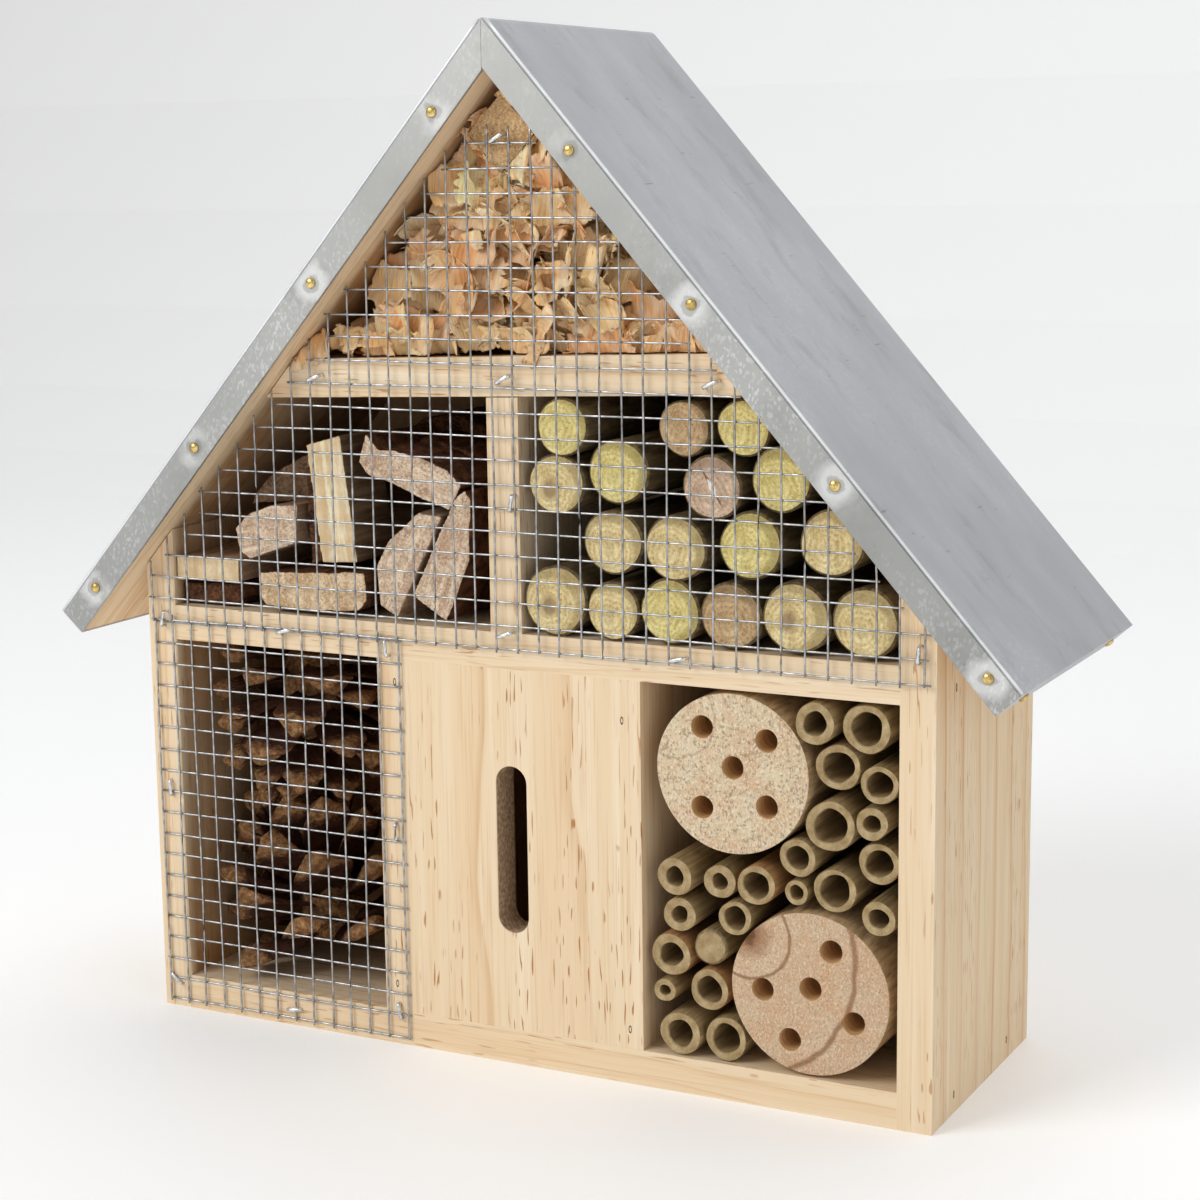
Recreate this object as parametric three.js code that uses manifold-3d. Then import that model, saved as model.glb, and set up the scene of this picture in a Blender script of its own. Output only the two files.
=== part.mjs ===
// Insect hotel: a gabled wooden box with a folded sheet-metal roof, a tilted shelf, wire mesh
// fronts and compartments filled with shavings, sticks, offcuts, pine cones and bamboo.
// Millimetres, +Z up. The origin is the middle of the footprint, the front faces -Y.
import * as THREE from "three";
import { mergeVertices } from "three/addons/utils/BufferGeometryUtils.js";
import Module from "manifold-3d";

const wasm = await Module();
wasm.setup();

// ---- Driving dimensions -------------------------------------------------------------------

const GAP = 0.3; // clearance kept between pieces that are cut to fit each other

const BODY_WIDTH = 240;
const BODY_DEPTH = 80;
const FRONT = -BODY_DEPTH / 2;
const BACK = BODY_DEPTH / 2;
const WALL_THICK = 9.5;
const WALL_INSIDE = BODY_WIDTH / 2 - WALL_THICK;
const BACK_THICK = 5;
const INSIDE_BACK = BACK - BACK_THICK;

const FLOOR_TOP = 10;
const SHELF_UNDER = 111.5;
const SHELF_TOP = 121.5;

const ROOF_RISE = 1.1343; // rise of the roof for each millimetre across
const PITCH = Math.atan(ROOF_RISE);
const RIDGE_Z = 283.6; // where the two outer roof planes meet
const SLOPE_LENGTH = 219.3; // ridge to eave, along the outer plane
const ROOF_DEPTH = 97;
const SHEET = 0.5;
const BEND_RADIUS = 3; // outside radius of the folded ridge
const BEND_FACETS = 6;
const FASCIA = 9.4; // width of the folded edge strips
const ROOF_BOARD = 8.6;

const UPPER_SHELF = { middle: 190.3, thick: 10.5, tilt: THREE.MathUtils.degToRad(1.9) };
const DIVIDER = { left: -6, right: 3.5 };
const PANEL = { left: -42.5, right: 38.5, thick: 10 };
const SLOT = { x: -0.7, z: 61.2, width: 9.5, height: 47 };
const BATTEN = { side: 14, z: 253.2 };

const WIRE = 0.9;
const MESH_PITCH = 6.35;
const MESH_LEFT = -117.5;
const LOWER_MESH = { columns: 83, bottom: 3, top: 113 };
const UPPER_MESH = { bottom: 116, tail: 2.5 };

const LOG_HOLE = 6.2;
const LOG_HOLE_DEPTH = 42;

// Round pieces are listed as [x, z, outside diameter, ...].
const LOGS = [
  {
    name: "log_disc_upper",
    at: [64.4, 89, 43.4],
    holes: [[55.9, 100.8], [74.1, 98.7], [64.6, 90.7], [55.9, 79.3], [74.2, 81.2]],
  },
  {
    name: "log_disc_lower",
    at: [86.2, 32.5, 44.4],
    holes: [[92.1, 44.8], [73, 32], [86.4, 34], [98.4, 26.4], [80.7, 19.4]],
  },
];
const BAMBOO = [
  [87.5, 104.5, 11.5, 7.0],
  [101.2, 104.2, 13.5, 9.4],
  [93.2, 93.3, 12.8, 9.1],
  [104.9, 90.2, 10.7, 7.6],
  [91.3, 77.7, 14.2, 10.0],
  [103.1, 80.0, 9.2, 5.1],
  [82.5, 68.5, 10.6, 6.9],
  [104.4, 69.2, 11.6, 8.0],
  [47.7, 59.4, 10.7, 5.8],
  [60.3, 59.3, 9.7, 4.9],
  [71.3, 60.0, 11.3, 7.9],
  [82.2, 59.2, 7.0, 4.3],
  [92.4, 60.6, 12.3, 9.2],
  [104.9, 55.2, 9.7, 5.8],
  [48.6, 48.8, 9.9, 5.2],
  [65.3, 50.4, 9.9, 6.9],
  [46.3, 37.6, 12.1, 7.3],
  [57.5, 40.9, 10.3, 0],
  [44.6, 27.6, 6.7, 3.4],
  [57.2, 29.2, 11.8, 7.9],
  [49.3, 16.4, 12.4, 8.0],
  [62.2, 16.5, 12.6, 8.8],
];
const STICKS = [
  [16.3, 177.4, 13.4],
  [13.9, 162.2, 16.2],
  [31.6, 166.1, 17.1],
  [51.3, 178.3, 14.4],
  [67.4, 178.9, 14.6],
  [59.2, 163.5, 16.4],
  [77.8, 166.2, 16.4],
];
const WEB = { height: 4, front: 10, back: 20 };
const STICK_ROWS = [
  {
    name: "stick_row_second",
    sticks: [[30.8, 147.8, 16.6], [48.8, 147.2, 16.9], [69.9, 149.1, 17], [92, 151.1, 16.8]],
  },
  {
    name: "stick_row_bottom",
    sticks: [
      [13.6, 131.2, 18.4],
      [30.6, 129.6, 15],
      [47.2, 130.6, 16.8],
      [64.4, 130.6, 16.8],
      [82.4, 131.4, 18],
      [101, 131.4, 17.4],
    ],
  },
];

// Offcuts in the upper left compartment: the outline of each front end as [x, z] points.
const OFFCUTS = [
  {
    name: "offcut_floor_board",
    outline: [[-110, 122], [-90, 122], [-88.5, 129.4], [-88.2, 136.6], [-109.9, 136]],
    front: -39.2,
    back: 20,
  },
  {
    name: "offcut_sawn_wedge",
    outline: [
      [-88.6, 138], [-84.6, 136], [-68.4, 141.6], [-67.9, 152.2], [-70.5, 153], [-84.2, 149.8],
      [-89.8, 144.7],
    ],
    front: -39,
    back: 12,
  },
  {
    name: "offcut_upright_board",
    outline: [[-60.2, 136.8], [-43.6, 138.6], [-46.6, 173.4], [-53.7, 172.3], [-64.2, 169.1]],
    front: -38.6,
    back: 28,
  },
  {
    name: "offcut_half_round",
    outline: [[-80.4, 154.2], [-65.2, 156.2], [-66.4, 167.6], [-76.5, 160.8], [-82.4, 155.6]],
    front: -30,
    back: 30,
  },
  {
    name: "offcut_rough_block",
    outline: [[-81.7, 123.2], [-63.8, 122.2], [-45.6, 124], [-45.6, 135.6], [-81.7, 133.4]],
    front: -39.4,
    back: 8,
  },
  {
    name: "offcut_curved_slab",
    outline: [
      [-45.2, 165.4], [-42.2, 163], [-31.8, 158], [-20.6, 153.6], [-14.4, 161], [-17.5, 163.5],
      [-27.7, 168.2], [-40.1, 170.4], [-45.8, 173.4],
    ],
    front: -38.8,
    back: 24,
  },
  {
    name: "offcut_streaked_plank",
    outline: [
      [-42, 124.6], [-20.4, 122.2], [-12.8, 144.5], [-12, 158], [-14.2, 159.8], [-19.8, 152.4],
      [-29, 152.6], [-39, 143.6],
    ],
    front: -39,
    back: 26,
  },
];

const CONES = [
  { name: "pine_cone_upper", z: 109, height: 52, radius: 26, tilt: 180 },
  { name: "pine_cone_lower", z: 12, height: 44, radius: 25, tilt: -8 },
];
const CONE_PLACE = { x: -82, y: -11 };
const CONE_TIERS = 5;
const SCALES_PER_TIER = 6;
const SCALE_THICK = 2.2;

const HANGER = { width: 18, height: 44, foot: 8, lift: 3, sheet: 1.2, z: 222, hole: 9, slot: 5 };

// ---- Materials ------------------------------------------------------------------------------

const material = (color, roughness, metalness = 0) =>
  new THREE.MeshStandardMaterial({ color, roughness, metalness, flatShading: true });

const pine = () => material("#e3c794", 0.75);
const stickWood = () => material("#c9ab6f", 0.85);
const bambooSkin = () => material("#9a7d45", 0.6);
const galvanised = () => material("#b9bcbf", 0.45, 0.9);
const steelWire = () => material("#a8abad", 0.35, 1);
const offcutWood = () => material("#b98d5c", 0.9);
const shavingWood = () => material("#d8a868", 0.95);
const coneWood = () => material("#6b4426", 0.9);
const strapBrass = () => material("#c9a35a", 0.4, 1);

// ---- Geometry helpers -----------------------------------------------------------------------

const hotel = new THREE.Group();

function addMesh(name, geometry, surface, parent = hotel) {
  const mesh = new THREE.Mesh(geometry, surface);
  mesh.name = name;
  parent.add(mesh);
  return mesh;
}

function toSolid(geometry) {
  const bare = geometry.clone();
  bare.deleteAttribute("normal");
  bare.deleteAttribute("uv");
  const merged = mergeVertices(bare);
  const vertProperties = new Float32Array(merged.attributes.position.array);
  const triVerts = new Uint32Array(merged.index.array);
  return new wasm.Manifold(new wasm.Mesh({ numProp: 3, vertProperties, triVerts }));
}

function toGeometry(solid) {
  const { vertProperties, triVerts } = solid.getMesh();
  const geometry = new THREE.BufferGeometry();
  geometry.setAttribute("position", new THREE.BufferAttribute(vertProperties, 3));
  geometry.setIndex(new THREE.BufferAttribute(triVerts, 1));
  return geometry.toNonIndexed();
}

const joinAll = (solids) => solids.reduce((whole, piece) => whole.add(piece));

function box(x0, x1, y0, y1, z0, z1) {
  const geometry = new THREE.BoxGeometry(x1 - x0, y1 - y0, z1 - z0);
  return geometry.translate((x0 + x1) / 2, (y0 + y1) / 2, (z0 + z1) / 2);
}

// An outline of [x, z] points, or a ready Shape, run from y0 back to y1.
function prism(outline, y0, y1) {
  const points = (flat) => flat.map(([x, z]) => new THREE.Vector2(x, z));
  const shape = outline instanceof THREE.Shape ? outline : new THREE.Shape(points(outline));
  const options = { depth: y1 - y0, bevelEnabled: false, curveSegments: 8 };
  return new THREE.ExtrudeGeometry(shape, options).rotateX(Math.PI / 2).translate(0, y1, 0);
}

// Corners of a regular polygon, which stands for a circle of the same diameter.
function ring(x, z, diameter, sides) {
  return Array.from({ length: sides }, (_, i) => {
    const turn = ((i + 0.5) / sides) * 2 * Math.PI;
    return [x + (diameter / 2) * Math.cos(turn), z + (diameter / 2) * Math.sin(turn)];
  });
}

// Height of a roof layer above x, the layer lying the given depth under the outer plane.
const roofHeight = (x, depth) => RIDGE_Z - Math.abs(x) * ROOF_RISE - depth / Math.cos(PITCH);
const BOARD_TOP = SHEET + GAP;
const BOARD_UNDER = BOARD_TOP + ROOF_BOARD;
const UNDER_ROOF = BOARD_UNDER + GAP;

// Height of the tilted shelf's middle plane at x, moved up by the given distance.
const shelfHeight = (x, up) =>
  UPPER_SHELF.middle + x * Math.tan(UPPER_SHELF.tilt) + up / Math.cos(UPPER_SHELF.tilt);

// Where the tilted shelf's plane, moved up by a distance, meets the space under the roof.
function shelfMeetsRoof(side, up, depth) {
  const rise = ROOF_RISE + side * Math.tan(UPPER_SHELF.tilt);
  const x = (side * (roofHeight(0, depth) - shelfHeight(0, up))) / rise;
  return [x, shelfHeight(x, up)];
}

// ---- Carcass --------------------------------------------------------------------------------

function addCarcass() {
  for (const [name, side] of [["wall_left", -1], ["wall_right", 1]]) {
    const inner = side * WALL_INSIDE;
    const outer = (side * BODY_WIDTH) / 2;
    const outline = [
      [inner, 0],
      [outer, 0],
      [outer, roofHeight(outer, UNDER_ROOF)],
      [inner, roofHeight(inner, UNDER_ROOF)],
    ];
    addMesh(name, prism(outline, FRONT, BACK), pine());
  }
  const across = [-WALL_INSIDE, WALL_INSIDE, FRONT, INSIDE_BACK];
  addMesh("bottom_board", box(...across, 0, FLOOR_TOP), pine());
  addMesh("middle_shelf", box(...across, SHELF_UNDER, SHELF_TOP), pine());

  const gable = [
    [-WALL_INSIDE, 0],
    [WALL_INSIDE, 0],
    [WALL_INSIDE, roofHeight(WALL_INSIDE, UNDER_ROOF)],
    [0, roofHeight(0, UNDER_ROOF)],
    [-WALL_INSIDE, roofHeight(WALL_INSIDE, UNDER_ROOF)],
  ];
  addMesh("back_panel", prism(gable, INSIDE_BACK, BACK), pine());

  const half = UPPER_SHELF.thick / 2;
  const shelf = [
    shelfMeetsRoof(-1, -half, UNDER_ROOF),
    shelfMeetsRoof(1, -half, UNDER_ROOF),
    shelfMeetsRoof(1, half, UNDER_ROOF),
    shelfMeetsRoof(-1, half, UNDER_ROOF),
  ];
  addMesh("upper_shelf", prism(shelf, FRONT, INSIDE_BACK), pine());

  const post = [
    [DIVIDER.left, SHELF_TOP],
    [DIVIDER.right, SHELF_TOP],
    [DIVIDER.right, shelfHeight(DIVIDER.right, -half - GAP)],
    [DIVIDER.left, shelfHeight(DIVIDER.left, -half - GAP)],
  ];
  addMesh("upper_divider", prism(post, FRONT, INSIDE_BACK), pine());

  const behindPanel = [FRONT + PANEL.thick, INSIDE_BACK, FLOOR_TOP, SHELF_UNDER];
  const leftInside = PANEL.left + WALL_THICK;
  const rightInside = PANEL.right - WALL_THICK;
  addMesh("lower_divider_left", box(PANEL.left, leftInside, ...behindPanel), pine());
  addMesh("lower_divider_right", box(rightInside, PANEL.right, ...behindPanel), pine());

  const diagonal = BATTEN.side * Math.SQRT2;
  const diamond = [0, 1, 2, 3].map((corner) => {
    const turn = (corner * Math.PI) / 2;
    return [(diagonal / 2) * Math.cos(turn), BATTEN.z + (diagonal / 2) * Math.sin(turn)];
  });
  addMesh("ridge_batten", prism(diamond, FRONT, INSIDE_BACK), pine());
}

function addButterflyPanel() {
  const { left, right } = PANEL;
  const face = new THREE.Shape();
  face.moveTo(left, FLOOR_TOP);
  face.lineTo(right, FLOOR_TOP);
  face.lineTo(right, SHELF_UNDER);
  face.lineTo(left, SHELF_UNDER);
  const radius = SLOT.width / 2;
  const straight = SLOT.height / 2 - radius;
  const slot = new THREE.Path();
  slot.absarc(SLOT.x, SLOT.z + straight, radius, 0, Math.PI);
  slot.absarc(SLOT.x, SLOT.z - straight, radius, Math.PI, 2 * Math.PI);
  face.holes.push(slot);
  addMesh("butterfly_panel", prism(face, FRONT, FRONT + PANEL.thick), pine());
}

// ---- Roof -----------------------------------------------------------------------------------

// A point of the roof's section: a run down the slope from the ridge, a depth under the plane.
const onSlope = (side, run, depth) => [
  side * (run * Math.cos(PITCH) - depth * Math.sin(PITCH)),
  RIDGE_Z - run * Math.sin(PITCH) - depth * Math.cos(PITCH),
];

// The roof's section at a depth under its outer plane: eave, rounded ridge, eave.
function roofLine(depth, slopeLength) {
  const centreZ = RIDGE_Z - BEND_RADIUS / Math.cos(PITCH);
  const radius = BEND_RADIUS - depth;
  const bend = [];
  for (let i = 0; i <= BEND_FACETS; i++) {
    const turn = PITCH - (2 * PITCH * i) / BEND_FACETS;
    bend.push([-radius * Math.sin(turn), centreZ + radius * Math.cos(turn)]);
  }
  return [onSlope(-1, slopeLength, depth), ...bend, onSlope(1, slopeLength, depth)];
}

// A chevron block between two depths, with its eave ends square to the slope.
function chevron(top, bottom, slopeLength, halfDepth) {
  const peak = [0, RIDGE_Z - bottom / Math.cos(PITCH)];
  const under = [onSlope(1, slopeLength, bottom), peak, onSlope(-1, slopeLength, bottom)];
  const outline = [...roofLine(top, slopeLength), ...under].reverse();
  return toSolid(prism(outline, -halfDepth, halfDepth));
}

// One folded cap over the whole roof, open underneath: sheet, fascias and eave strips.
function addRoofSheet() {
  const outside = chevron(0, FASCIA, SLOPE_LENGTH, ROOF_DEPTH / 2);
  const inside = chevron(SHEET, 4 * FASCIA, SLOPE_LENGTH - SHEET, ROOF_DEPTH / 2 - SHEET);
  addMesh("roof_sheet", toGeometry(outside.subtract(inside)), galvanised());
}

// Each roof board is drawn flat, x running down the slope, and turned to the pitch.
function addRoofBoards() {
  const halfDepth = ROOF_DEPTH / 2 - SHEET - GAP;
  const eave = SLOPE_LENGTH - SHEET - GAP;
  const mitre = (depth) => depth * Math.tan(PITCH) + GAP;
  const trimmed = 1.35 * BEND_RADIUS; // the mitre's sharp edge is planed off under the bend
  const outline = [
    [mitre(BOARD_UNDER), -BOARD_UNDER],
    [eave, -BOARD_UNDER],
    [eave, -BOARD_TOP],
    [trimmed, -BOARD_TOP],
    [mitre(trimmed), -trimmed],
  ];
  for (const [name, turn] of [["roof_board_left", Math.PI], ["roof_board_right", 0]]) {
    const side = new THREE.Group();
    side.rotation.z = turn;
    const slope = new THREE.Group();
    slope.position.z = RIDGE_Z;
    slope.rotation.y = PITCH;
    side.add(slope);
    hotel.add(side);
    addMesh(name, prism(outline, -halfDepth, halfDepth), pine(), slope);
  }
}

// ---- Wire mesh ------------------------------------------------------------------------------

// Upright and level wires between given ends, welded into one grid in front of the boards.
function addWireMesh(name, uprights, levels) {
  const half = WIRE / 2;
  const wires = [
    ...uprights.map(([x, z0, z1]) => box(x - half, x + half, FRONT - WIRE, FRONT, z0, z1)),
    ...levels.map(([z, x0, x1]) => box(x0, x1, FRONT - WIRE, FRONT, z - half, z + half)),
  ];
  addMesh(name, toGeometry(joinAll(wires.map(toSolid))), steelWire());
}

// Places from one end towards the other, one mesh cell apart.
const everyCell = (from, to) =>
  Array.from({ length: Math.floor((to - from) / MESH_PITCH) + 1 }, (_, i) => from + i * MESH_PITCH);

function addLowerMesh() {
  const right = MESH_LEFT + LOWER_MESH.columns;
  const { bottom, top } = LOWER_MESH;
  const uprights = everyCell(MESH_LEFT, right).map((x) => [x, bottom, top]);
  const lastX = uprights[uprights.length - 1][0];
  const levels = everyCell(bottom + WIRE, top).map((z) => [z, MESH_LEFT - 1, lastX + 1]);
  addWireMesh("wire_mesh_lower", uprights, levels);
}

// The upper sheet is snipped in steps along the roof, so its uprights end just under it.
function addUpperMesh() {
  const { bottom, tail } = UPPER_MESH;
  const roofTop = (x) => roofHeight(x, UNDER_ROOF) - WIRE;
  const xs = everyCell(MESH_LEFT, -MESH_LEFT);
  const highest = (x) => Math.min(roofTop(x), roofHeight(0, UNDER_ROOF) - 2 * MESH_PITCH);
  const uprights = xs.map((x) => [x, bottom - tail, highest(x)]);
  const levels = [];
  for (const z of everyCell(bottom, RIDGE_Z)) {
    const crossed = xs.filter((x) => highest(x) > z + WIRE);
    if (crossed.length > 1)
      levels.push([z, crossed[0] - WIRE, crossed[crossed.length - 1] + WIRE]);
  }
  addWireMesh("wire_mesh_upper", uprights, levels);
}

// ---- Fillings -------------------------------------------------------------------------------

// Front ends are pushed in by hand, so each sits at its own small distance behind the mesh.
const setBack = (index) => 0.5 + ((index * 7) % 5) * 0.5;
const twoDigits = (index) => String(index + 1).padStart(2, "0");

function addBamboo() {
  BAMBOO.forEach(([x, z, outside, bore], index) => {
    const points = (diameter, sides) =>
      ring(0, 0, diameter, sides).map(([u, v]) => new THREE.Vector2(u, v));
    const section = new THREE.Shape(points(outside, 14));
    if (bore) section.holes.push(new THREE.Path(points(bore, 12)));
    const front = FRONT + setBack(index);
    const tube = prism(section, 0, INSIDE_BACK - GAP - front);
    addMesh("bamboo_" + twoDigits(index), tube, bambooSkin()).position.set(x, front, z);
  });
}

function addLogs() {
  for (const { name, at: [x, z, diameter], holes } of LOGS) {
    const front = FRONT + 0.8;
    const log = toSolid(prism(ring(x, z, diameter, 32), front, INSIDE_BACK - GAP));
    const drilled = holes.map(([hx, hz]) =>
      toSolid(prism(ring(hx, hz, LOG_HOLE, 12), front - 1, front + LOG_HOLE_DEPTH)),
    );
    addMesh(name, toGeometry(log.subtract(joinAll(drilled))), stickWood());
  }
}

const stick = ([x, z, diameter], index) =>
  prism(ring(x, z, diameter, 16), FRONT + setBack(index), INSIDE_BACK - GAP);

function addSticks() {
  STICKS.forEach((place, index) => {
    addMesh("stick_" + twoDigits(index), stick(place, index), stickWood());
  });
  // A row is joined by a thin web through its middle, so that it is one piece.
  for (const { name, sticks } of STICK_ROWS) {
    const webs = sticks.slice(1).map(([x1, z1], index) => {
      const [x0, z0] = sticks[index];
      const [low, high] = [-WEB.height / 2, WEB.height / 2];
      const outline = [[x0, z0 + low], [x1, z1 + low], [x1, z1 + high], [x0, z0 + high]];
      return prism(outline, WEB.front, WEB.back);
    });
    const solids = [...sticks.map(stick), ...webs].map(toSolid);
    addMesh(name, toGeometry(joinAll(solids)), stickWood());
  }
}

function addOffcuts() {
  for (const { name, outline, front, back } of OFFCUTS)
    addMesh(name, prism(outline, front, back), offcutWood());
}

// The heap of shavings above the tilted shelf, hollowed where the ridge batten passes.
function addShavings() {
  const above = UPPER_SHELF.thick / 2 + GAP;
  const side = UNDER_ROOF + 1;
  const top = BATTEN.z - 1;
  const reach = (roofHeight(0, side) - top) / ROOF_RISE;
  const notch = (BATTEN.side * Math.SQRT2) / 2 + 2 * GAP; // clears the diamond-set batten
  const rim = notch - (BATTEN.z - top);
  const outline = [
    shelfMeetsRoof(-1, above, side),
    shelfMeetsRoof(1, above, side),
    [reach, top],
    [rim, top],
    [0, BATTEN.z - notch],
    [-rim, top],
    [-reach, top],
  ];
  const heap = prism(outline, FRONT + 1.2, INSIDE_BACK - GAP);
  addMesh("shavings_heap", heap, shavingWood());
}

// One flat woody scale, pointing along +X: narrow at the core, widest near its tip.
function coneScale(reach, width) {
  const shoulder = 0.8 * reach;
  const stem = 0.12 * width;
  const outline = [[0, -stem], [shoulder, -width / 2], [reach, 0], [shoulder, width / 2], [0, stem]];
  return prism(outline, -SCALE_THICK / 2, SCALE_THICK / 2).rotateX(Math.PI / 2);
}

// A cone is a spindle of scales in tiers, turned half a step from one tier to the next.
function addPineCones() {
  const spindle = [[0, 0], [0.3, 0.04], [0.42, 0.35], [0.3, 0.75], [0, 0.96]];
  for (const { name, z, height, radius, tilt } of CONES) {
    const profile = spindle.map(([r, h]) => new THREE.Vector2(r * radius, h * height));
    const solids = [toSolid(new THREE.LatheGeometry(profile, 10).rotateX(Math.PI / 2))];
    for (let tier = 0; tier < CONE_TIERS; tier++) {
      const level = (tier + 0.6) / CONE_TIERS;
      const spread = radius * (0.62 + 0.38 * Math.sin(Math.PI * (0.15 + 0.75 * level)));
      for (let i = 0; i < SCALES_PER_TIER; i++) {
        const scale = coneScale(spread, 0.6 * radius)
          .rotateY(-0.35 - 0.5 * level)
          .rotateZ(((i + tier / 2) / SCALES_PER_TIER) * 2 * Math.PI)
          .translate(0, 0, height * (0.06 + 0.62 * level));
        solids.push(toSolid(scale));
      }
    }
    const cone = addMesh(name, toGeometry(joinAll(solids)), coneWood());
    cone.position.set(CONE_PLACE.x, CONE_PLACE.y, z);
    cone.rotation.y = THREE.MathUtils.degToRad(tilt);
  }
}

// ---- Wall hanger ----------------------------------------------------------------------------

// A folded strip with two feet on the back panel and a keyhole in its raised middle.
function addHanger() {
  const { width, height, foot, lift, sheet, z, hole, slot } = HANGER;
  const half = width / 2;
  const reach = height / 2;
  const raised = [BACK + lift, BACK + lift + sheet];
  const solids = [
    box(-half, half, ...raised, z - reach + foot, z + reach - foot),
    box(-half, half, BACK, BACK + sheet, z - reach, z - reach + foot + sheet),
    box(-half, half, BACK, BACK + sheet, z + reach - foot - sheet, z + reach),
    box(-half, half, BACK, raised[1], z - reach + foot, z - reach + foot + sheet),
    box(-half, half, BACK, raised[1], z + reach - foot - sheet, z + reach - foot),
  ].map(toSolid);
  const through = [BACK + lift - 1, BACK + lift + sheet + 1];
  const [holeZ, slotTop] = [z - 6, z + 8];
  const head = toSolid(prism(ring(0, holeZ, hole, 20), ...through));
  const neck = toSolid(box(-slot / 2, slot / 2, ...through, holeZ, slotTop));
  const strap = joinAll(solids).subtract(head.add(neck));
  addMesh("hanger_strap", toGeometry(strap), strapBrass());
}

addCarcass();
addButterflyPanel();
addRoofSheet();
addRoofBoards();
addLowerMesh();
addUpperMesh();
addBamboo();
addLogs();
addSticks();
addOffcuts();
addShavings();
addPineCones();
addHanger();

export default hotel;
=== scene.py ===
import math
import random

import bmesh
import bpy
from mathutils import Matrix, Vector


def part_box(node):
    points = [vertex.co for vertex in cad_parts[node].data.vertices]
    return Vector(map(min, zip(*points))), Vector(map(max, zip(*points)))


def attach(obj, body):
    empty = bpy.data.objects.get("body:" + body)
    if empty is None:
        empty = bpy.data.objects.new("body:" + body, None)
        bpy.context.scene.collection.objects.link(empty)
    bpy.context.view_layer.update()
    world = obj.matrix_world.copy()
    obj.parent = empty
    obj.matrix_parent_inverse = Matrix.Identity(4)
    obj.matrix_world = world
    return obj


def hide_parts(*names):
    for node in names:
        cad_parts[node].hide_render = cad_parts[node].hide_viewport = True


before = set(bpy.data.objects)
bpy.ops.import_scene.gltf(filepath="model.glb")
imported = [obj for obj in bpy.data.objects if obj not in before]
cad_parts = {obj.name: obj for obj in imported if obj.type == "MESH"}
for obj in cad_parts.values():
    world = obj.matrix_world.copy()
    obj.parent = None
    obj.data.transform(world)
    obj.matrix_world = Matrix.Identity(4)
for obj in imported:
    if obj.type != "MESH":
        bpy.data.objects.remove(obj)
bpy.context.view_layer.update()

MM = 0.001

# ---- Camera, floor and light -------------------------------------


def add_camera():
    """A long lens at the front right, a little above the eaves."""
    yaw, pitch, roll = (math.radians(angle) for angle in (27.68, 10.26, -0.86))
    forward = Vector(
        (
            -math.sin(yaw) * math.cos(pitch),
            math.cos(yaw) * math.cos(pitch),
            -math.sin(pitch),
        )
    )
    level = Vector((math.cos(yaw), math.sin(yaw), 0))
    upward = level.cross(forward)
    right = math.cos(roll) * level + math.sin(roll) * upward
    up = math.cos(roll) * upward - math.sin(roll) * level
    data = bpy.data.cameras.new("camera")
    data.sensor_width = 36
    data.lens = 74.46
    data.shift_x = 0.0217
    data.shift_y = 0.0092
    data.clip_start = 0.01
    camera = bpy.data.objects.new("camera", data)
    turn = Matrix((right, up, -forward)).transposed().to_4x4()
    camera.matrix_world = Matrix.Translation(Vector((0.3191, -0.6114, 0.2457))) @ turn
    bpy.context.collection.objects.link(camera)
    bpy.context.scene.camera = camera


def add_area_light(name, place, aim, size, watts, colour=(1, 1, 1)):
    data = bpy.data.lights.new(name, "AREA")
    data.shape = "RECTANGLE"
    data.size, data.size_y = size
    data.energy = watts
    data.color = colour
    light = bpy.data.objects.new(name, data)
    light.location = place
    light.rotation_euler = (Vector(aim) - Vector(place)).to_track_quat("-Z", "Y").to_euler()
    bpy.context.collection.objects.link(light)


def add_studio():
    """A pale floor that sweeps up behind, a broad key from the front left and soft fills."""
    ground = bmesh.new()
    half, near, far, bend = 3.0, -2.5, 1.6, 0.7
    profile = [(near, 0.0)]
    for step in range(9):
        turn = math.radians(90 * step / 8)
        profile.append((far - bend + bend * math.sin(turn), bend - bend * math.cos(turn)))
    profile.append((far, 3.5))
    rows = [[ground.verts.new((x, y, z)) for x in (-half, half)] for y, z in profile]
    for low, high in zip(rows, rows[1:]):
        ground.faces.new((low[0], low[1], high[1], high[0]))
    floor = finish_mesh("studio_floor", ground, [floor_material()])
    add_area_light("key_light", (-0.9, -1.3, 1.15), (0, 0, 0.12), (1.0, 1.0), 18)
    add_area_light("right_fill", (1.5, -0.7, 0.7), (0, 0, 0.12), (1.2, 1.2), 3.6)
    add_area_light("front_fill", (0.35, -1.7, 0.35), (0, 0, 0.13), (1.0, 0.8), 1.3)
    add_area_light("top_light", (0.3, 0.3, 1.7), (0, 0, 0.1), (1.4, 1.4), 8, (0.95, 0.98, 1))
    world = bpy.data.worlds.new("studio")
    world.use_nodes = True
    world.node_tree.nodes["Background"].inputs["Color"].default_value = (1, 1, 1, 1)
    world.node_tree.nodes["Background"].inputs["Strength"].default_value = 0.37
    bpy.context.scene.world = world
    bpy.context.scene.view_settings.view_transform = "Standard"


# ---- Node and mesh helpers ---------------------------------------


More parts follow.
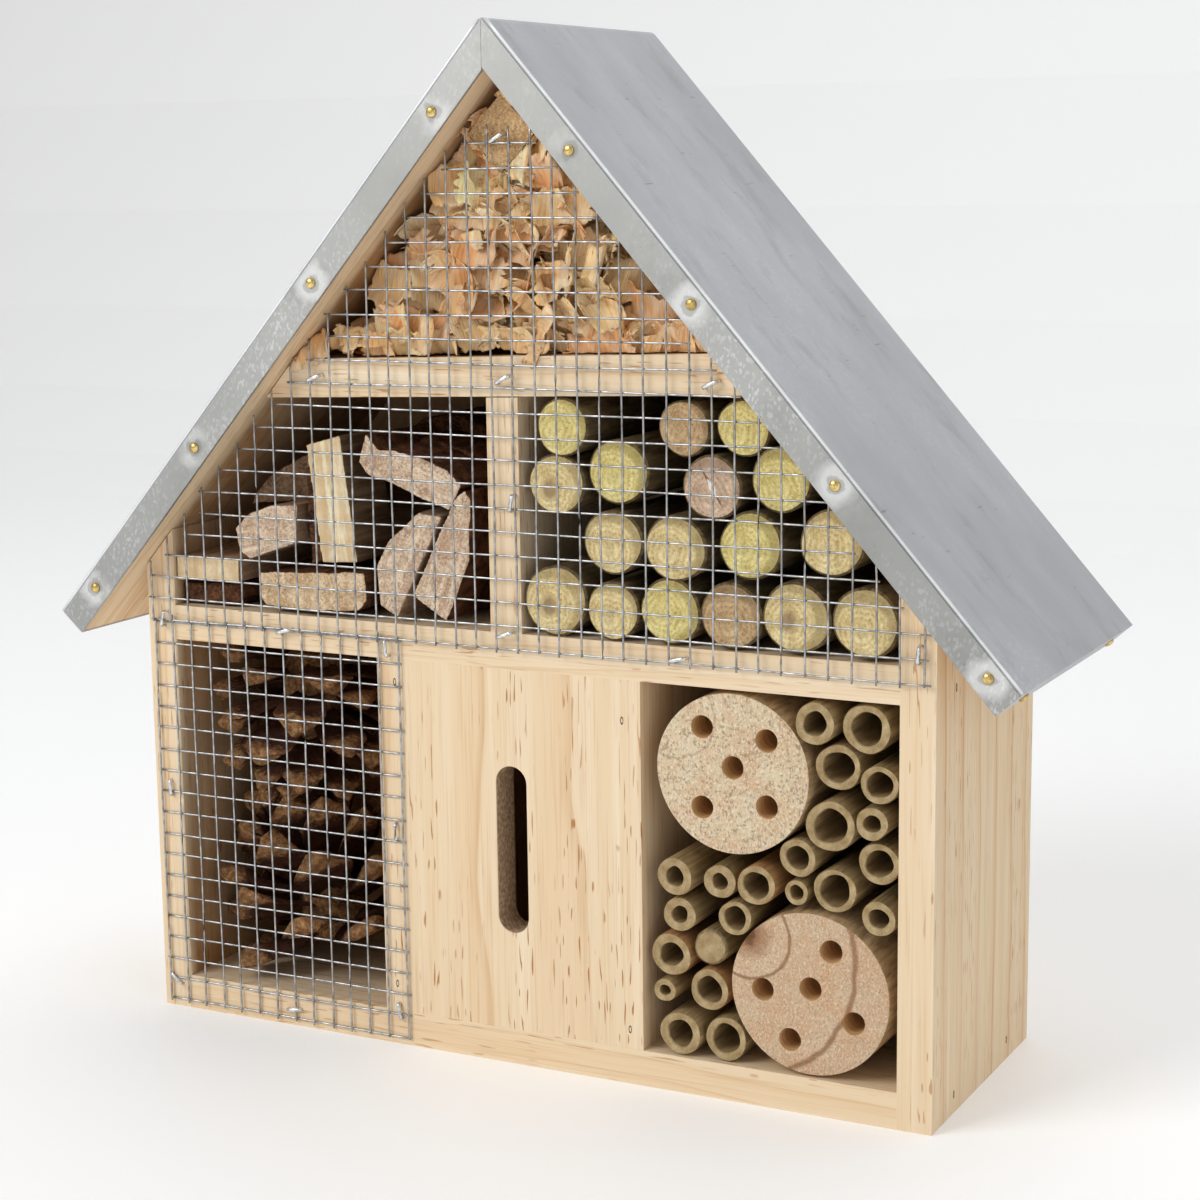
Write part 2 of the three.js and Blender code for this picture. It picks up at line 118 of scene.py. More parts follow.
class Surface:
    """A material with a Principled shader, and short ways to add nodes to it."""

    def __init__(self, name, **constants):
        self.material = bpy.data.materials.new(name)
        self.material.use_nodes = True
        self.tree = self.material.node_tree
        self.shader = self.tree.nodes["Principled BSDF"]
        for socket, value in constants.items():
            self.shader.inputs[socket.replace("_", " ")].default_value = value
        self.place = self.node("ShaderNodeTexCoord").outputs["Object"]

    def node(self, kind, inputs=(), **settings):
        made = self.tree.nodes.new(kind)
        for key, value in settings.items():
            setattr(made, key, value)
        for key, value in dict(inputs).items():
            self.feed(made.inputs[key], value)
        return made

    def feed(self, socket, value):
        if isinstance(value, bpy.types.NodeSocket):
            self.tree.links.new(value, socket)
        else:
            socket.default_value = value

    def mapped(self, vector, scale=(1, 1, 1), turn=(0, 0, 0), shift=(0, 0, 0)):
        inputs = {"Vector": vector, "Scale": scale, "Location": shift}
        inputs["Rotation"] = [math.radians(angle) for angle in turn]
        return self.node("ShaderNodeMapping", inputs).outputs[0]

    def noise(self, vector, scale, detail=2.0, roughness=0.5):
        inputs = {"Vector": vector, "Scale": scale, "Detail": detail, "Roughness": roughness}
        return self.node("ShaderNodeTexNoise", inputs).outputs[0]

    def streaks(self, vector, scale, detail=2.0, roughness=0.5, turn=(0, 0, 0), shift=(0, 0, 0)):
        """Noise with its own scale along each axis."""
        return self.noise(self.mapped(vector, scale, turn, shift), 1, detail, roughness)

    def cells(self, vector, scale, feature="F1", output="Distance"):
        inputs = {"Vector": vector, "Scale": scale}
        return self.node("ShaderNodeTexVoronoi", inputs, feature=feature).outputs[output]

    def maths(self, operation, a, b=0.0, clamp=False):
        made = self.node("ShaderNodeMath", {0: a, 1: b}, operation=operation, use_clamp=clamp)
        return made.outputs[0]

    def plus(self, a, b):
        return self.maths("ADD", a, b)

    def minus(self, a, b):
        return self.maths("SUBTRACT", a, b)

    def times(self, a, b):
        return self.maths("MULTIPLY", a, b)

    def spread(self, value, low, high, to_low=0.0, to_high=1.0):
        inputs = {0: value, 1: low, 2: high, 3: to_low, 4: to_high}
        return self.node("ShaderNodeMapRange", inputs).outputs[0]

    def axes(self, vector):
        return self.node("ShaderNodeSeparateXYZ", {0: vector}).outputs[:3]

    def reach(self, vector, centre, flat=(1, 1, 1)):
        """Distance from a centre; flat leaves an axis out."""
        shift = [-coordinate * keep for coordinate, keep in zip(centre, flat)]
        return self.length(self.mapped(vector, flat, shift=shift))

    def vector(self, operation, a, b=(0, 0, 0), **inputs):
        return self.node("ShaderNodeVectorMath", {0: a, 1: b, **inputs}, operation=operation).outputs[0]

    def length(self, vector):
        return self.node("ShaderNodeVectorMath", {0: vector}, operation="LENGTH").outputs["Value"]

    def swayed(self, vector, across, scale, detail, amount):
        """The vector pushed about by a soft noise that is read at another vector."""
        push = self.node("ShaderNodeTexNoise", {"Vector": across, "Scale": scale, "Detail": detail})
        push = self.vector("SCALE", push.outputs["Color"], Scale=amount)
        return self.vector("ADD", vector, push)

    def ramp(self, value, *stops):
        made = self.node("ShaderNodeValToRGB", {0: value})
        marks = made.color_ramp.elements
        while len(marks) < len(stops):
            marks.new(0.5)
        for mark, (position, colour) in zip(marks, stops):
            mark.position = position
            mark.color = (*colour, 1)
        return made.outputs[0]

    def mix(self, amount, a, b, blend="MIX"):
        made = self.node("ShaderNodeMix", data_type="RGBA", blend_type=blend)
        self.feed(made.inputs["Factor"], amount)
        for socket, value in ((made.inputs[6], a), (made.inputs[7], b)):
            self.feed(socket, value if isinstance(value, bpy.types.NodeSocket) else (*value, 1))
        return made.outputs[2]

    def tint(self, colour, value, low, high, amount, into, blend="MIX"):
        """Blends a colour into another, by amount, as the value goes from low to high."""
        return self.mix(self.spread(value, low, high, 0, amount), colour, into, blend)

    def bump(self, height, strength, depth):
        inputs = {"Height": height, "Strength": strength, "Distance": depth}
        if self.shader.inputs["Normal"].links:
            inputs["Normal"] = self.shader.inputs["Normal"].links[0].from_socket
        made = self.node("ShaderNodeBump", inputs)
        self.tree.links.new(made.outputs[0], self.shader.inputs["Normal"])

    def finish(self, colour=None, roughness=None, metallic=None):
        given = (("Base Color", colour), ("Roughness", roughness), ("Metallic", metallic))
        for socket, value in given:
            if value is not None:
                self.feed(self.shader.inputs[socket], value)
        return self.material


def shade(colour, factor):
    return [min(1, channel * factor) for channel in colour]


def finish_mesh(name, shape, materials, smooth=False, place=None):
    """Turns a bmesh into an object of the given name and materials."""
    bmesh.ops.recalc_face_normals(shape, faces=shape.faces)
    for face in shape.faces:
        face.smooth = smooth
    mesh = bpy.data.meshes.new(name)
    shape.to_mesh(mesh)
    shape.free()
    for material in materials:
        mesh.materials.append(material)
    made = bpy.data.objects.new(name, mesh)
    if place is not None:
        made.location = place
    bpy.context.collection.objects.link(made)
    return made


def dress(piece, slot, *nodes):
    """A finished piece rides on the hotel and stands for its CAD nodes, which are hidden; the slot is not
    used.
    """
    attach(piece, "root")
    if nodes:
        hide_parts(*nodes)
    return piece


def middle_of(node):
    low, high = (Vector(corner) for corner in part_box(node))
    return (low + high) / 2


def front_of(node):
    """The middle of a round node's front end, and its radius."""
    low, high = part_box(node)
    return ((low[0] + high[0]) / 2, low[1], (low[2] + high[2]) / 2), (high[2] - low[2]) / 2


def round_edges(piece, width, segments=2, angle=35):
    bevel = piece.modifiers.new("worn_edges", "BEVEL")
    bevel.width = width
    bevel.segments = segments
    bevel.limit_method = "ANGLE"
    bevel.angle_limit = math.radians(angle)
    bevel.harden_normals = False


def redress(node, material, width, segments=2, angle=35):
    """A carried-over CAD node gets a new material and softened edges."""
    piece = bpy.data.objects[node]
    piece.data.materials.clear()
    piece.data.materials.append(material)
    round_edges(piece, width, segments, angle)


def join_rings(shape, rings, indices, closed=False):
    """Quads between each ring and the next, with a material index for each gap."""
    following = rings[1:] + ([rings[0]] if closed else [])
    for index, low, high in zip(indices, rings, following):
        for k in range(len(low)):
            nxt = (k + 1) % len(low)
            face = shape.faces.new((low[k], low[nxt], high[nxt], high[k]))
            face.material_index = index


def close_rings(shape, rings):
    """Quads between rings of equal count, one after the other, with a cap on each end."""
    shape.faces.new(rings[0][::-1])
    shape.faces.new(rings[-1])
    join_rings(shape, rings, [0] * (len(rings) - 1))


def slab(shape, front, back):
    """A solid between two outlines of equal count."""
    shape.faces.new(front)
    shape.faces.new(back[::-1])
    join_rings(shape, [front, back], [0])


def angles(sides):
    return [2 * math.pi * k / sides for k in range(sides)]


def round_ring(shape, sides, place, turn, radius, height=0.0):
    """Points round a turned circle whose middle is the given height over the place."""
    ring = []
    for angle in angles(sides):
        flat = Vector((radius * math.cos(angle), radius * math.sin(angle), height))
        ring.append(shape.verts.new(place + turn @ flat))
    return ring


def sweep(shape, points, radii, sides):
    """A capped round rod through the points, with a radius at each of them."""
    rings = []
    for i, point in enumerate(points):
        ahead = points[min(i + 1, len(points) - 1)] - points[max(i - 1, 0)]
        rings.append(round_ring(shape, sides, point, ahead.to_track_quat("Z", "Y"), radii[i]))
    close_rings(shape, rings)


# ---- Materials ---------------------------------------------------


def floor_material():
    look = Surface("studio_paper", Roughness=0.6, Specular_IOR_Level=0.2, Emission_Strength=0.12)
    look.shader.inputs["Emission Color"].default_value = (1, 1, 1, 1)
    fine = look.noise(look.place, 900, 2)
    look.bump(fine, 0.03, 0.0005)
    return look.finish(look.mix(fine, (0.91, 0.91, 0.91), (0.94, 0.94, 0.94)))


GRAIN_TURN = {
    "x": (0, 90, 0), "z": (0, 0, 0), "left_slope": (0, -41.4, 0), "right_slope": (0, 41.4, 0),
}
EARLYWOOD = (0.82, 0.655, 0.45)
WARMWOOD = (0.76, 0.545, 0.32)
LATEWOOD = (0.60, 0.36, 0.165)
RESIN = (0.46, 0.215, 0.08)
# The wave texture's scale times the ring spacing in metres.
RING_WAVE = 0.314
# How far left the two left compartments reach, and how far to the front and to the back.
ROOM_LEFT = 110.7 * MM
ROOM_DEPTH = (39.4 * MM, 35.2 * MM)
# The slot of the butterfly panel: x and z of its lower left and upper right corners.
SLOT_LOW, SLOT_HIGH = (-5.6 * MM, 37.5 * MM), (4.2 * MM, 84.9 * MM)


def room_shade(look):
    """Painted shade: how much a board darkens, in streaks, where it faces into the two left compartments."""
    x, y, z = look.axes(look.place)
    within = look.spread(x, -ROOM_LEFT - 0.3 * MM, -ROOM_LEFT)
    within = look.maths("MINIMUM", within, look.spread(x, -1 * MM, -4 * MM))
    for low, high in ((-ROOM_DEPTH[0], 3 * MM - ROOM_DEPTH[0]), (ROOM_DEPTH[1] + 0.3 * MM, ROOM_DEPTH[1])):
        within = look.maths("MINIMUM", within, look.spread(y, low, high))
    within = look.maths("MINIMUM", within, look.maths("GREATER_THAN", z, 5 * MM))
    # Streaks that vary the strength of the painted shade.
    shade_streaks = look.streaks(look.place, (60, 22, 30), 4, 0.65)
    return look.times(within, look.spread(shade_streaks, 0.35, 0.65, 0.6, 1.0))


def timber(name, along, pith, ring=0.006, strength=0.8, dashes=0.8):
    """Planed softwood: growth rings round a distant pith, fibres and short resin ducts."""
    look = Surface(name, Specular_IOR_Level=0.3)
    turned = look.mapped(look.place, turn=GRAIN_TURN[along])
    grain = look.mapped(turned, shift=pith)
    bent = look.swayed(grain, look.mapped(grain, (9, 9, 4)), 1, 3, 0.03)
    wave = look.node(
        "ShaderNodeTexWave",
        {"Vector": bent, "Scale": RING_WAVE / ring, "Distortion": 0.35, "Detail": 2},
        wave_type="RINGS",
        rings_direction="Z",
        wave_profile="SAW",
    ).outputs["Fac"]
    patches = look.streaks(grain, (16, 16, 4), 3)
    band = look.ramp(
        wave, (0.0, WARMWOOD), (0.05, EARLYWOOD), (0.62, EARLYWOOD), (0.90, WARMWOOD), (0.965, LATEWOOD)
    )
    shown = look.spread(patches, 0.36, 0.62, 0.4 * strength, strength)
    fibres = look.streaks(grain, (1500, 1500, 26), 2)
    broad_fibres = look.streaks(grain, (240, 240, 6), 3)
    duct_noise = look.streaks(grain, (1500, 1500, 120), 0)
    crowd = look.streaks(grain, (95, 95, 8), 2, shift=(3, 1, 2))
    ducts = look.maths(
        "MULTIPLY", look.spread(duct_noise, 0.69, 0.735), look.spread(crowd, 0.43, 0.55), clamp=True
    )
    colour = look.mix(shown, EARLYWOOD, band)
    colour = look.tint(colour, broad_fibres, 0.42, 0.72, 0.5, WARMWOOD)
    colour = look.tint(colour, broad_fibres, 0.40, 0.28, 0.55, (0.90, 0.77, 0.58))
    colour = look.tint(colour, fibres, 0.5, 0.78, 0.4, (0.66, 0.46, 0.26), "MULTIPLY")
    colour = look.mix(look.times(ducts, dashes), colour, RESIN)
    spot = look.streaks(grain, (70, 70, 42), 2)
    colour = look.tint(colour, spot, 0.79, 0.81, 0.75, (0.30, 0.13, 0.05))
    if name.endswith("butterfly_panel"):
        x, y, z = look.axes(look.place)
        wide = look.maths("ABSOLUTE", look.minus(x, (SLOT_LOW[0] + SLOT_HIGH[0]) / 2))
        tall = look.maths("ABSOLUTE", look.minus(z, (SLOT_LOW[1] + SLOT_HIGH[1]) / 2))
        inside = look.maths(
            "MULTIPLY",
            look.maths("LESS_THAN", wide, (SLOT_HIGH[0] - SLOT_LOW[0]) / 2),
            look.maths("LESS_THAN", tall, (SLOT_HIGH[1] - SLOT_LOW[1]) / 2),
        )
        inside = look.times(inside, look.maths("GREATER_THAN", y, BODY_FRONT + 0.4 * MM))
        torn = look.noise(look.place, 900, 4)
        sawn = look.ramp(torn, (0.35, (0.30, 0.19, 0.11)), (0.7, (0.62, 0.46, 0.30)))
        colour = look.mix(inside, colour, sawn)
    elif not name.endswith(("bottom_board", "middle_shelf")):
        # Painted shade: boards facing into the two left compartments are multiplied towards this brown.
        colour = look.mix(room_shade(look), colour, (0.50, 0.33, 0.19), "MULTIPLY")
    look.bump(look.minus(fibres, ducts), 0.3, 0.00025)
    return look.finish(colour, look.spread(broad_fibres, 0.2, 0.8, 0.6, 0.74))


def sheet_metal(name, base, bright, nails=(), spangled=0.3):
    """Matt galvanised sheet: spangle, rubbed rings round the nails, smudges and fine scratches."""
    look = Surface(name, Metallic=0.75)
    flakes = look.cells(look.mapped(look.place, (1, 0.4, 0.6), turn=(0, 25, 0)), 1700, output="Color")
    flakes = look.node("ShaderNodeSeparateColor", {0: flakes}).outputs[0]
    smudge = look.streaks(look.place, (11, 23, 11), 5, 0.6)
    grime = look.streaks(look.place, (40, 95, 40), 4, 0.65, turn=(0, 20, 12))
    scratch_one = look.streaks(look.place, (1300, 90, 1300), 1, turn=(0, 30, 24))
    scratch_two = look.streaks(look.place, (1700, 130, 1700), 1, turn=(0, 0, -33))
    scratches = look.maths(
        "MAXIMUM", look.spread(scratch_one, 0.72, 0.78), look.spread(scratch_two, 0.73, 0.79)
    )
    scratches = look.times(scratches, look.spread(grime, 0.48, 0.62))
    colour = look.mix(look.spread(smudge, 0.35, 0.65), base, bright)
    low = look.axes(look.place)[2]
    flaky = look.times(look.spread(flakes, 0.70, 0.95), look.spread(smudge, 0.42, 0.6))
    flaky = look.times(flaky, look.spread(low, 0.25, 0.11, 0.25 * spangled, spangled))
    colour = look.mix(flaky, colour, (0.95, 0.96, 0.97))
    dark = shade(base, 0.5)
    if nails:
        colour = look.tint(colour, low, 0.27, 0.12, 0.42, dark)
    colour = look.tint(colour, grime, 0.55, 0.72, 0.3, dark)
    colour = look.mix(look.times(scratches, 0.75), colour, dark)
    for nail in nails:
        ring = look.reach(look.place, nail)
        ring = look.plus(ring, look.times(look.noise(look.place, 260, 2), 0.004))
        rubbed = look.spread(grime, 0.40, 0.56, 0, 0.6)
        worn = look.times(look.spread(ring, 0.0085, 0.0055), rubbed)
        colour = look.mix(worn, colour, (0.85, 0.85, 0.84))
        colour = look.tint(colour, ring, 0.0046, 0.0042, 0.4, dark)
    look.bump(look.noise(look.place, 26, 1), 0.10, 0.006)
    look.bump(look.minus(flaky, scratches), 0.3, 0.0002)
    return look.finish(colour, look.spread(smudge, 0.3, 0.7, 0.42, 0.55))


def small_metal(name, scale, dark, light, rough, rippled=False, **constants):
    """Metal mottled from a dark to a light stop, with a roughness for each."""
    look = Surface(name, **constants)
    mottle = look.noise(look.place, scale, 3)
    if rippled:
        look.bump(look.noise(look.place, 1500, 2), 0.3, 0.0001)
    return look.finish(look.ramp(mottle, dark, light), look.spread(mottle, 0.3, 0.7, *rough))


# ---- Carcass -----------------------------------------------------

# Each board's grain direction, where its growth rings are centred, their spacing in metres,
# how strongly they show and how strongly the resin ducts show.
BOARDS = {
    "wall_left": ("z", (0.19, 0.02, 0.0), 0.0070, 0.6, 0.7),
    "wall_right": ("z", (-0.07, 0.25, 0.0), 0.0135, 0.8, 0.7),
    "bottom_board": ("x", (0.045, 0.03, 0.4), 0.0062, 0.5, 0.6),
    "middle_shelf": ("x", (0.16, 0.05, 0.1), 0.0058, 0.5, 0.8),
    "upper_shelf": ("x", (0.24, 0.02, 0.7), 0.0065, 0.5, 0.8),
    "upper_divider": ("z", (0.03, 0.06, 0.3), 0.0056, 0.5, 0.7),
    "lower_divider_left": ("z", (0.09, -0.03, 0.9), 0.0072, 0.6, 0.8),
    "lower_divider_right": ("z", (0.02, 0.05, 0.5), 0.0080, 0.6, 0.8),
    "butterfly_panel": ("z", (0.05, 0.16, 0.2), 0.0135, 0.7, 1.0),
    "back_panel": ("x", (-0.12, 0.09, 0.6), 0.0094, 0.7, 0.6),
    "roof_board_left": ("left_slope", (0.05, -0.16, 0.3), 0.0078, 0.7, 0.4),
    "roof_board_right": ("right_slope", (-0.06, -0.21, 0.8), 0.0084, 0.7, 0.4),
}


def dress_carcass():
    for node, settings in BOARDS.items():
        redress(node, timber("timber_" + node, *settings), 0.5 * MM)
    tones = (((0.72, 0.50, 0.27), (0.44, 0.26, 0.12)), ((0.74, 0.54, 0.32), (0.55, 0.36, 0.19)))
    redress("ridge_batten", block_look("ridge_batten", *tones, None), 0.6 * MM)


# Brads driven flush: x and z in mm on the front, and y and z on both side walls.
FRONT_BRADS = ((-36.9, 105.1), (-38.7, 17.8), (33.1, 100.5), (34.6, 15.4))
SIDE_BRADS = ((-24.9, 113.9), (22.0, 113.2), (-23.0, 5.2), (21.0, 5.6))


def add_brads():
    """Small dark brad ends: an oblong punch mark with the steel end just inside it."""
    steel = small_metal(
        "punched_steel", 1400, (0.35, (0.02, 0.012, 0.008)), (0.7, (0.10, 0.06, 0.035)), (0.85, 0.7),
        Metallic=0.2, Specular_IOR_Level=0.2,
    )
    shape = bmesh.new()
    wall_left, wall_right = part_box("wall_left")[0][0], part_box("wall_right")[1][0]
    marks = [((x * MM, BODY_FRONT, z * MM), Vector((0, -1, 0))) for x, z in FRONT_BRADS]
    for y, z in SIDE_BRADS:
        marks.append(((wall_right, y * MM, z * MM), Vector((1, 0, 0))))
        marks.append(((wall_left, y * MM, z * MM), Vector((-1, 0, 0))))
    for place, outward in marks:
        across = Vector((0, 0, 1)).cross(outward)
        rings = []
        for share, height in ((1.0, -0.6), (1.0, 0.06), (0.72, 0.08), (0.6, -0.1)):
            ring = []
            for angle in angles(12):
                corner = across * 0.45 * math.cos(angle) + Vector((0, 0, 1.1 * math.sin(angle)))
                ring.append(shape.verts.new(Vector(place) + (corner * share + outward * height) * MM))
            rings.append(ring)
        close_rings(shape, rings)
    dress(finish_mesh("brad_ends", shape, [steel], True), "hanger_metal")


# ---- Roof --------------------------------------------------------

PITCH = math.atan(1.1343)
ALONG = Vector((math.cos(PITCH), 0, -math.sin(PITCH)))
OUTWARD = Vector((math.sin(PITCH), 0, math.cos(PITCH)))
RIDGE = Vector((0, 0, 0.2836))
FASCIA_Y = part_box("roof_sheet")[0][1]
# How far the roof boards' underside lies under the outer roof plane.
ROOF_DEPTH = 9.7 * MM


def on_slope(side, run, depth, y):
    """A point under the outer roof plane: run down from the ridge, depth inwards, in metres."""
    point = RIDGE + ALONG * run - OUTWARD * depth
    return Vector((side * point.x, y, point.z))


SLOPE_RUN = 219.3 * MM
# The plates over the roof's front and back edges: how far they run down, how thick they are, and
# how far under the roof plane they start and end.
PLATE_RUN = 219.2 * MM
PLATE = 0.4 * MM
PLATE_EDGE = 1.15 * MM
PLATE_DEPTH = 9.4 * MM
# Where the folded lip runs down the slope, in mm from the ridge; its bright metal is a painted highlight
# along the fold.
LIP_START, LIP_END = 2.2, 219.0
NAIL_DEPTH = 4.8 * MM
EAVE_NAIL_Y = 38 * MM
# How far down each slope the edge nails are, in mm.
NAIL_RUNS = {-1: (28.7, 87.6, 149.0, 205.1), 1: (42.5, 93.3, 151.3, 211.1)}


def nail_places(end):
    return [on_slope(side, run * MM, NAIL_DEPTH, end * (abs(FASCIA_Y) + PLATE))
            for side, runs in NAIL_RUNS.items() for run in runs]


def dress_roof():
    top = sheet_metal("galvanised_sheet", (0.43, 0.437, 0.455), (0.56, 0.57, 0.59), (), 0.15)
    redress("roof_sheet", top, 0.3 * MM, 3, 30)
    # The folded lip's near-white metal is a painted highlight along the fold, brighter than the sheet it is
    # folded from.
    lip_highlight_metal = sheet_metal("folded_lip", (0.75, 0.76, 0.77), (0.93, 0.93, 0.93))
    for end, label in ((-1, "front"), (1, "back")):
        y = end * abs(FASCIA_Y)
        zinc = sheet_metal("zinc_fascia_" + label, (0.42, 0.42, 0.405), (0.54, 0.54, 0.52),
                           nail_places(end), 0.8)
        for side, name in ((-1, "left"), (1, "right")):
            shape = bmesh.new()
            inner, outer = PLATE_DEPTH, PLATE_EDGE
            lap = -side * PLATE
            start = [depth * math.tan(PITCH) + lap for depth in (outer, inner)]
            corners = [(start[0], outer), (PLATE_RUN, outer), (PLATE_RUN, inner), (start[1], inner)]
            rows = []
            for proud in (-0.05 * MM, PLATE):
                rows.append([shape.verts.new(on_slope(side, run, depth, y + end * proud))
                             for run, depth in corners])
            slab(shape, *rows)
            plate = finish_mesh(f"fascia_{label}_{name}", shape, [zinc])
            round_edges(plate, 0.12 * MM)
            dress(plate, "roof_metal")
            shape = bmesh.new()
            runs = [(LIP_START + (LIP_END - LIP_START) * i / 40) * MM for i in range(41)]
            points = [on_slope(side, run, 0.42 * MM, y - end * 0.05 * MM) for run in runs]
            sweep(shape, points, [0.4 * MM] * len(points), 10)
            dress(finish_mesh(f"folded_lip_{label}_{name}", shape, [lip_highlight_metal], True), "roof_metal")


def nail_head(shape, place, outward, radius=1.5 * MM):
    """A small domed head."""
    turn = outward.to_track_quat("Z", "Y")
    rings = []
    for share, height in ((1.0, 0.0), (1.0, 0.25), (0.86, 0.6), (0.55, 0.85), (0.2, 0.95)):
        rings.append(round_ring(shape, 14, place, turn, radius * share, height * radius * 0.6))
    close_rings(shape, rings)


def dress_hanger():
    """Yellow-passivated steel: rolled streaks, dull blotches and a soft edge."""
    look = Surface("passivated_steel", Metallic=0.9)
    rolled = look.streaks(look.place, (1400, 1400, 45), 3)
    blotch = look.noise(look.place, 140, 4, 0.6)
    colour = look.ramp(blotch, (0.32, (0.50, 0.38, 0.19)), (0.68, (0.80, 0.70, 0.46)))
    colour = look.tint(colour, rolled, 0.55, 0.72, 0.5, (0.34, 0.26, 0.14))
    look.bump(rolled, 0.3, 0.0002)
    steel = look.finish(colour, look.spread(rolled, 0.3, 0.7, 0.32, 0.5))
    redress("hanger_strap", steel, 0.2 * MM)


def add_nails():
    brass = small_metal(
        "nail_brass", 700, (0.3, (0.42, 0.27, 0.07)), (0.65, (0.86, 0.66, 0.28)), (0.42, 0.22),
        Metallic=1.0,
    )
    for side, label in ((-1, "left"), (1, "right")):
        for face_y, outward, end in ((FASCIA_Y, -1, "front"), (-FASCIA_Y, 1, "back")):
            heads = bmesh.new()
            for run in NAIL_RUNS[side]:
                place = on_slope(side, run * MM, NAIL_DEPTH, face_y + outward * PLATE)
                nail_head(heads, place, Vector((0, outward, 0)))
            piece = finish_mesh(f"roof_nails_{end}_{label}", heads, [brass], True)
            dress(piece, "hanger_metal")
        heads = bmesh.new()
        eave = Vector((side * ALONG.x, 0, ALONG.z))
        for y in (-EAVE_NAIL_Y, EAVE_NAIL_Y):
            nail_head(heads, on_slope(side, SLOPE_RUN, NAIL_DEPTH, y), eave)
        dress(finish_mesh(f"eave_nails_{label}", heads, [brass], True), "hanger_metal")


# ---- Wire mesh ---------------------------------------------------

# The spacing and radius of the wires, and where the first upright one stands.
CELL = 6.35 * MM
WIRE = 0.29 * MM
MESH_LEFT = -117.5 * MM
# How far the wires stand in front of the wood: upright and level ones of each mesh. The upper mesh
# laps over the lower one.
UPPER_STAND = (1.7 * MM, 1.25 * MM)
LOWER_STAND = (0.78 * MM, 0.33 * MM)
UPPER_BOTTOM, UPPER_TOP = 117.3 * MM, 256 * MM
LOWER_BOTTOM, LOWER_TOP = 2.3 * MM, 119.0 * MM
UPPER_COLUMNS, LOWER_COLUMNS = 38, 14
BODY_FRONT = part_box("wall_left")[0][1]


def under_roof(x, below=0.0):
    """Height of the roof boards' underside at x, less a distance."""
    return RIDGE.z - abs(x) * math.tan(PITCH) - ROOF_DEPTH / math.cos(PITCH) - below


def grid_wire(shape, fixed, start, end, upright, chance, depth):
    """One wavy wire of a welded grid, from start to end; it thickens a little at each weld."""
    count = max(2, round((end - start) / (CELL / 2)))
    drift = chance.uniform(-0.12, 0.12) * MM
    points, radii = [], []
    for i in range(count + 1):
        run = start + (end - start) * i / count
        wave = drift + 0.14 * MM * math.sin(run * 55 + fixed * 310)
        y = BODY_FRONT - depth + 0.1 * MM * math.sin(run * 90 + fixed * 500)
        points.append(Vector((fixed + wave, y, run) if upright else (run, y, fixed + wave)))
        radii.append(WIRE * (1.06 if i % 2 else 0.97))
    sweep(shape, points, radii, 7)


def add_upper_mesh(wire):
    chance = random.Random(11)
    columns = [MESH_LEFT + CELL * i for i in range(UPPER_COLUMNS)]
    shape = bmesh.new()
    tops = {}
    for x in columns:
        tops[x] = min(under_roof(x, 0.6 * MM), UPPER_TOP)
        grid_wire(shape, x, UPPER_BOTTOM - chance.uniform(0.3, 1.1) * MM,
                  tops[x] - chance.uniform(0.0, 1.2) * MM, True, chance, UPPER_STAND[0])
    level = UPPER_BOTTOM
    while level < UPPER_TOP - 2 * MM:
        crossed = [x for x in columns if tops[x] > level + 0.5 * MM]
        if len(crossed) > 1:
            grid_wire(shape, level, crossed[0] - chance.uniform(0.4, 1.6) * MM,
                      crossed[-1] + chance.uniform(0.4, 1.6) * MM, False, chance, UPPER_STAND[1])
        level += CELL
    dress(finish_mesh("mesh_wires_upper", shape, [wire], True), "mesh_wire", "wire_mesh_upper")


def add_lower_mesh(wire):
    chance = random.Random(12)
    shape = bmesh.new()
    columns = [MESH_LEFT + CELL * i for i in range(LOWER_COLUMNS)]
    for x in columns:
        grid_wire(shape, x, chance.uniform(1.3, 2.0) * MM, LOWER_TOP - chance.uniform(0.2, 2.2) * MM,
                  True, chance, LOWER_STAND[0])
    for row in range(round((LOWER_TOP - LOWER_BOTTOM) / CELL) + 1):
        grid_wire(shape, LOWER_BOTTOM + CELL * row, columns[0] - chance.uniform(0.3, 0.9) * MM,
                  columns[-1] + chance.uniform(0.3, 1.0) * MM, False, chance, LOWER_STAND[1])
    dress(finish_mesh("mesh_wires_lower", shape, [wire], True), "mesh_wire", "wire_mesh_lower")


def add_meshes():
    wire = small_metal(
        "bright_wire", 420, (0.3, (0.24, 0.245, 0.25)), (0.7, (0.58, 0.585, 0.59)), (0.42, 0.28), True,
        Metallic=0.9,
    )
    add_upper_mesh(wire)
    add_lower_mesh(wire)


# Staples that hold the meshes: x and z of the middle in mm, and how many degrees the crown leans
# from level.
STAPLES = [
    (-0.6, 252.0, 29), (-59.3, 188.5, 20), (-0.1, 189.6, 27), (59.9, 190.0, 24),
    (1.9, 156.9, 80), (-113.9, 117.6, 78), (-72.3, 116.9, 14), (-38.5, 114.6, 94),
    (-0.9, 121.2, 19), (50.1, 118.5, 12), (115.8, 124.8, 84), (-114.4, 67.0, -85),
    (-115.4, 8.6, -41), (-73.9, 5.0, 7), (-37.7, 9.9, -80), (-37.4, 62.4, -89),
]


# Half a staple's width, how deep its legs go, its bend and its wire's radius.
STAPLE_HALF, STAPLE_LEG, STAPLE_BEND, STAPLE_RADIUS = 2.25 * MM, 1.5 * MM, 0.6 * MM, 0.37 * MM
# How far staples stand out over the upper and the lower mesh, and the height in mm between them.
UPPER_PROUD, LOWER_PROUD, STAPLE_SPLIT = 2.05 * MM, 1.15 * MM, 112


